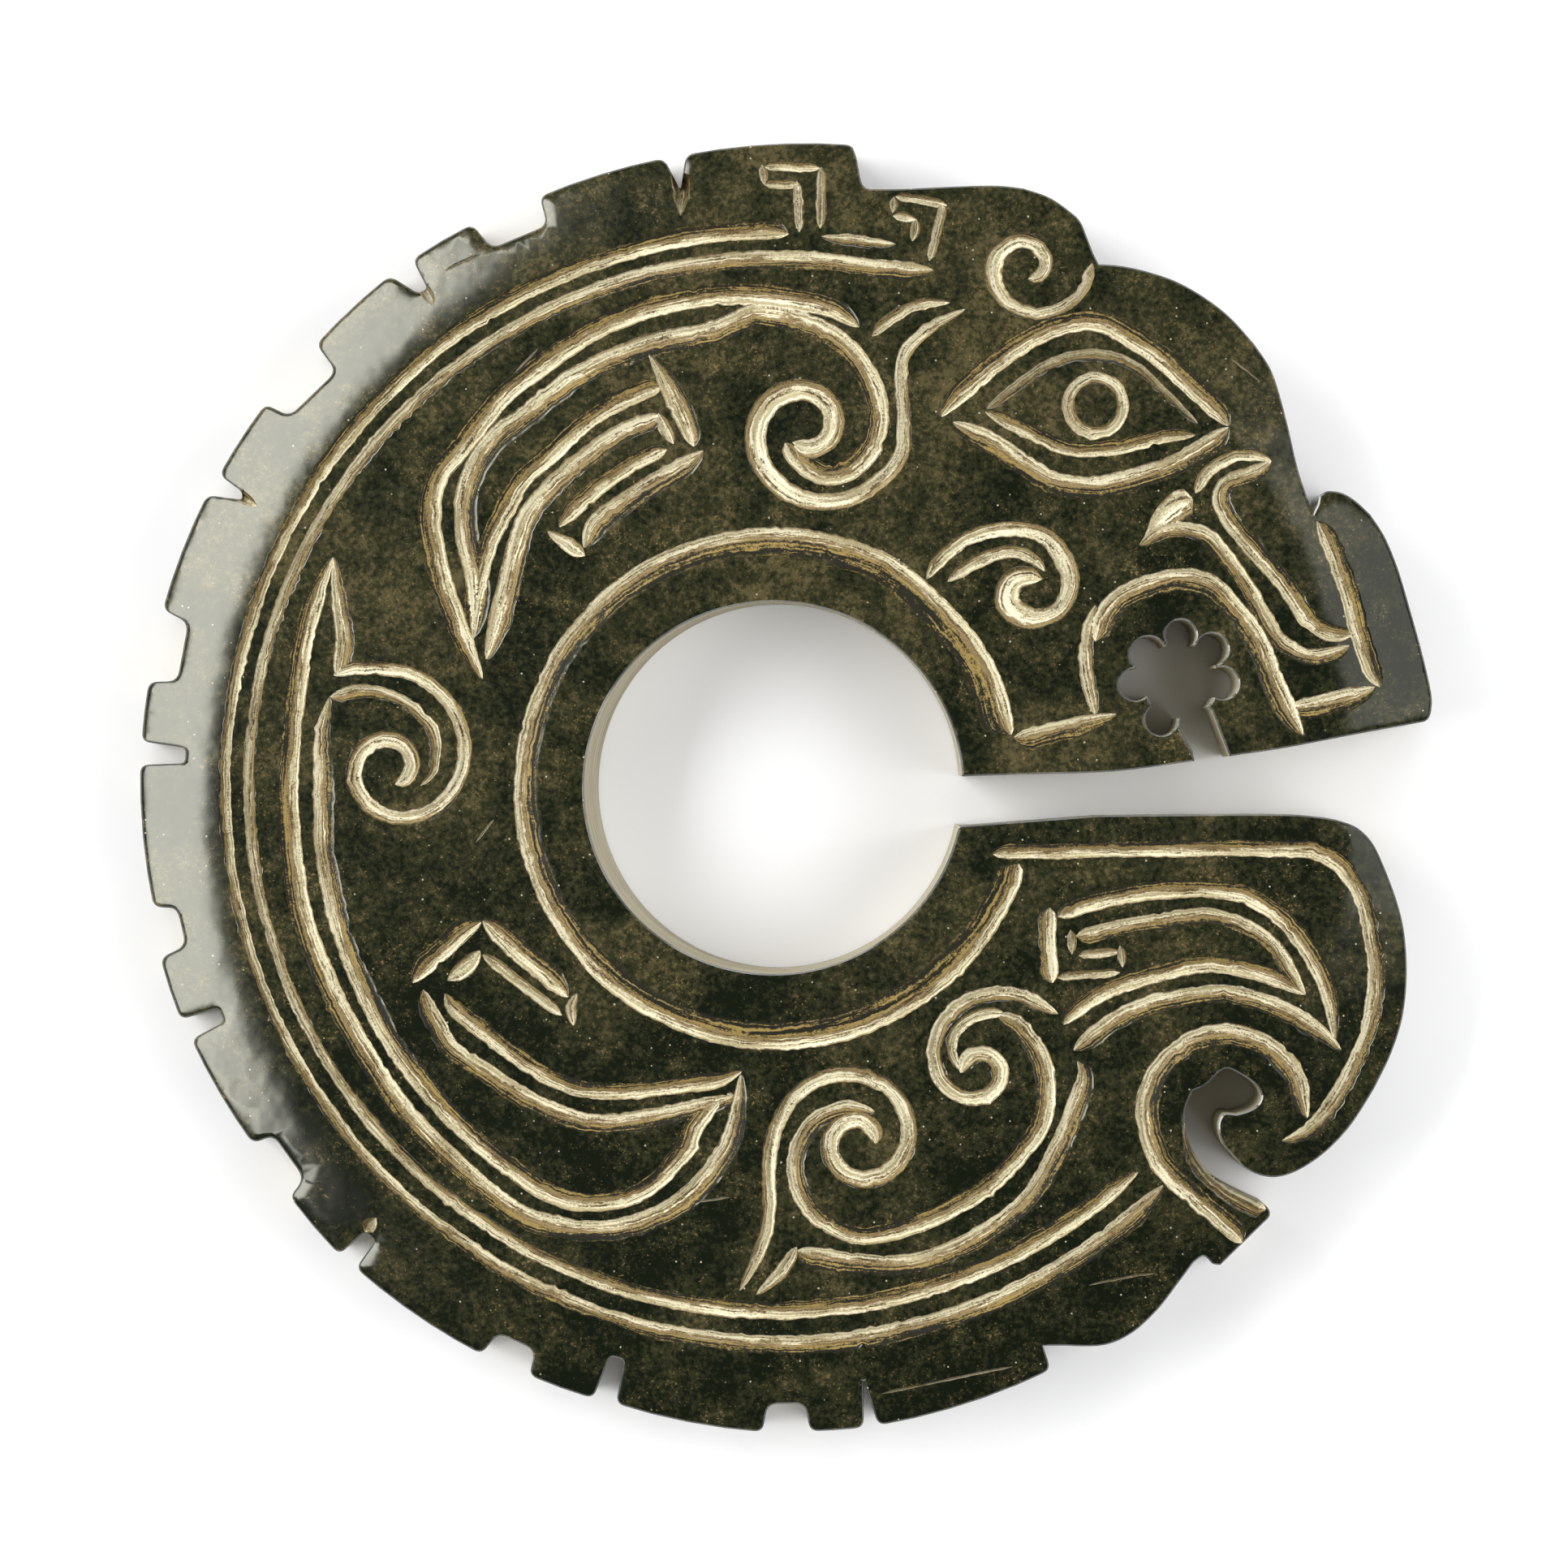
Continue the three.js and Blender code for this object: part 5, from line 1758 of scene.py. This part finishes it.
        levels = [(face.points, 1.0), *((self.leaned(rim, on_hole, rise), rise) for rise in self.rises)]
        levels.append((base.points, 0.0))
        vertices = [np.column_stack([points, np.full(len(points), rise)]) for points, rise in levels]
        base_start = start + count * len(self.rises)
        rings = [loop, *(start + count * k + np.arange(count) for k in range(len(self.rises)))]
        rings.append(base_start + gaps_between(foot, base.points).argmin(axis=1))
        faces = [face.triangles]
        for upper, lower in zip(rings, rings[1:]):
            faces.append(np.column_stack([upper, lower, np.roll(upper, -1)]))
            faces.append(np.column_stack([np.roll(upper, -1), lower, np.roll(lower, -1)]))
        faces.append(base.triangles[:, ::-1] + base_start)
        triangles = np.vstack(faces)
        whole = (triangles != np.roll(triangles, -1, axis=1)).all(axis=1)
        return Shell(np.vstack(vertices), triangles[whole], rim, start, base_start)

    def leaned(self, rim: np.ndarray, on_hole: np.ndarray, rise: float) -> np.ndarray:
        """The edge at a share of the thickness, where the hole leans and narrows on its way down.

        Args:
            rim: Edge of the stone in plan.
            on_hole: Which of its points lie on the hole.
            rise: Height as a share of the thickness.

        Returns:
            The edge at that height.
        """
        top, base = self.edge.hole_top, self.edge.hole_foot
        moved = rim.copy()
        unit = (rim - (top.x, top.y)) / (top.across, top.tall)
        middle = (lerp(base.x, top.x, rise), lerp(base.y, top.y, rise))
        halves = (lerp(base.across, top.across, rise), lerp(base.tall, top.tall, rise))
        moved[on_hole] = (unit * halves + middle)[on_hole]
        return moved

    def store(self, mesh: bpy.types.Mesh, name: str, domain: str, values: np.ndarray) -> None:
        """Stores one number for each point or corner of a mesh."""
        made = mesh.attributes.new(name, "FLOAT", domain)
        made.data.foreach_set("value", np.asarray(values, np.float32))

    def tree(self, stone: bpy.types.Material) -> bpy.types.NodeTree:
        """Geometry nodes that raise the flat pattern into the carved plate.

        Args:
            stone: The material that the plate is given.

        Returns:
            The tree, with named inputs for its sizes.
        """
        tree = bpy.data.node_groups.new("carve plate", "GeometryNodeTree")
        sizes = {
            "Thickness": self.thickness,
            "Rim start": self.cone_start,
            "Rim slope": self.cone_slope,
            "Rim ease": self.cone_ease,
            "Coil x": COIL[0],
            "Coil y": COIL[1],
        }
        tree.interface.new_socket("Pattern", in_out="INPUT", socket_type="NodeSocketGeometry")
        for name, size in sizes.items():
            socket = tree.interface.new_socket(name, in_out="INPUT", socket_type="NodeSocketFloat")
            socket.default_value = size
        tree.interface.new_socket("Plate", in_out="OUTPUT", socket_type="NodeSocketGeometry")
        bench = Bench(tree)
        group = bench.node("NodeGroupInput")
        given = {name: bench.out(group, name) for name in ("Pattern", *sizes)}
        x, y, rise = bench.parts(bench.out(bench.node("GeometryNodeInputPosition")))
        away_x, away_y = x - given["Coil x"], y - given["Coil y"]
        reach = (away_x * away_x + away_y * away_y).root()
        past, ease = reach - given["Rim start"], given["Rim ease"]
        turn = (past + ease).larger(0.0).smaller(ease * 2)
        fall = (turn * turn / (ease * 4) + (past - ease).larger(0.0)) * given["Rim slope"]
        cut = bench.out(bench.node("GeometryNodeInputNamedAttribute", {"data_type": "FLOAT"}, Name="cut"))
        height = (given["Thickness"] - fall - cut) * rise
        place = bench.vector(x * MM, y * MM, height * MM)
        placed = bench.node("GeometryNodeSetPosition", None, Geometry=given["Pattern"], Position=place)
        real = bench.node("GeometryNodeRealizeInstances", None, Geometry=bench.out(placed))
        dressed = bench.node("GeometryNodeSetMaterial", None, Geometry=bench.out(real), Material=stone)
        bench.node("NodeGroupOutput", None, n0=bench.out(dressed))
        return tree

    def carved(self, pattern: bpy.types.Object) -> bpy.types.Object:
        """Runs the tree on the pattern and keeps the result as a plain mesh.

        Args:
            pattern: The flat pattern with its attributes.

        Returns:
            The finished plate.
        """
        modifier = pattern.modifiers.new("carve", "NODES")
        modifier.node_group = self.tree(CarvedJade().make())
        depsgraph = bpy.context.evaluated_depsgraph_get()
        mesh = bpy.data.meshes.new_from_object(pattern.evaluated_get(depsgraph))
        mesh.name = "carved_jade_plate"
        mesh.set_sharp_from_angle(angle=self.sharp_from)
        plate = put("carved_jade_plate", mesh)
        bpy.data.objects.remove(pattern)
        return plate


# ------------------------------------------------------------------ the setting


class Lit(Enum):
    """What a box lights: flags keep its light off the rest."""

    ALL = "all"
    PLATE = "plate"
    FLOOR = "floor"


@dataclass(frozen=True)
class Lamp:
    """A soft box: where it hangs, seen from the middle of the plate, its size and its strength."""

    name: str
    azimuth: float
    tilt: float
    distance: float
    width: float
    height: float
    power: float
    tint: tuple[float, float, float] = (1.0, 1.0, 1.0)
    lit: Lit = Lit.ALL


@dataclass
class Setting:
    """Floor, lights, surroundings and camera."""

    floor_size: float = 3.0
    floor_colour: Colour = (0.9, 0.9, 0.9, 1.0)
    sky_colour: Colour = (0.96, 0.98, 1.0, 1.0)
    eye: tuple[float, float, float] = (-0.00028, 0.00044, 0.4068)
    lens: float = 119.25
    sensor: float = 36.0
    lamps: tuple[Lamp, ...] = (
        Lamp("left_box", 166.0, 24.5, 1.1, 0.86, 0.3, 4.95, (1.0, 1.0, 0.88), Lit.PLATE),
        Lamp("left_wall", 165.0, 62.0, 1.3, 1.4, 0.7, 24.0),
        Lamp("right_box", 11.0, 28.0, 1.1, 0.35, 0.36, 0.36, (1.0, 1.0, 0.88), Lit.PLATE),
        Lamp("floor_wall", -15.0, 50.0, 1.3, 1.6, 0.7, 7.8, lit=Lit.FLOOR),
        Lamp("right_wall", 0.0, 64.0, 1.3, 1.6, 0.7, 14.0),
        Lamp("top_wall", 90.0, 66.0, 1.3, 1.6, 0.7, 9.0),
        Lamp("foot_wall", 270.0, 66.0, 1.3, 1.6, 0.7, 4.0),
    )
    horizon: float = 1.1
    zenith: float = 0.03

    def floor(self) -> bpy.types.Object:
        """The plain pale floor.

        Returns:
            The floor.
        """
        half = self.floor_size / 2
        mesh = bpy.data.meshes.new("floor")
        corners = [(-half, -half, 0), (half, -half, 0), (half, half, 0), (-half, half, 0)]
        mesh.from_pydata(corners, [], [(0, 1, 2, 3)])
        material = bpy.data.materials.new("matt white floor")
        material.use_nodes = True
        shader = material.node_tree.nodes["Principled BSDF"]
        shader.inputs["Base Color"].default_value = self.floor_colour
        shader.inputs["Roughness"].default_value = 0.95
        shader.inputs["Specular IOR Level"].default_value = 0.1
        mesh.materials.append(material)
        return put("floor", mesh)

    def light(self) -> None:
        """Hangs the soft boxes, each turned towards the plate."""
        for lamp in self.lamps:
            turn, tilt = math.radians(lamp.azimuth), math.radians(lamp.tilt)
            place = Vector((math.sin(tilt) * math.cos(turn), math.sin(tilt) * math.sin(turn), math.cos(tilt)))
            data = bpy.data.lights.new(lamp.name, "AREA")
            data.shape = "RECTANGLE"
            data.size, data.size_y = lamp.width, lamp.height
            data.energy = lamp.power
            data.color = lamp.tint
            box = put(lamp.name, data)
            box.location = place * lamp.distance
            box.rotation_euler = place.to_track_quat("Z", "Y").to_euler()
            box.visible_camera = False

    def flag(self, lit: Lit, piece: bpy.types.Object) -> None:
        """Keeps the boxes of one kind on one piece alone.

        Args:
            lit: Which boxes.
            piece: What they light.
        """
        group = bpy.data.collections.new(f"lit_{lit.value}")
        group.objects.link(piece)
        for lamp in self.lamps:
            if lamp.lit is lit:
                bpy.data.objects[lamp.name].light_linking.receiver_collection = group

    def surround(self) -> None:
        """Surroundings that are pale at the horizon and dark overhead."""
        world = bpy.data.worlds.new("studio")
        world.use_nodes = True
        bench = Bench(world.node_tree)
        back = world.node_tree.nodes["Background"]
        up = bench.parts(bench.out(bench.node("ShaderNodeTexCoord"), "Generated"))[2]
        level = up.rises(0.8, 0.2) * (self.horizon - self.zenith) + self.zenith
        back.inputs["Color"].default_value = self.sky_colour
        plug(world.node_tree, back.inputs["Strength"], level)
        bpy.context.scene.world = world

    def camera(self) -> None:
        """The camera, straight over the plate."""
        data = bpy.data.cameras.new("overhead")
        data.sensor_width = self.sensor
        data.lens = self.lens
        camera = put("overhead", data)
        camera.location = self.eye
        bpy.context.scene.camera = camera
        bpy.context.scene.view_settings.view_transform = "Standard"


def main() -> None:
    """Builds the plate and its setting."""
    logging.basicConfig(level=logging.INFO, format="%(message)s")
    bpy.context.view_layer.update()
    setting = Setting()
    setting.camera()
    setting.light()
    setting.surround()
    floor = setting.floor()
    plate = DragonPlate().make()
    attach(plate, "root")
    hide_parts(NODE)
    setting.flag(Lit.PLATE, plate)
    setting.flag(Lit.FLOOR, floor)
    LOG.info("%s: %d triangles", plate.name, len(plate.data.polygons))


if __name__ == "__main__":
    main()
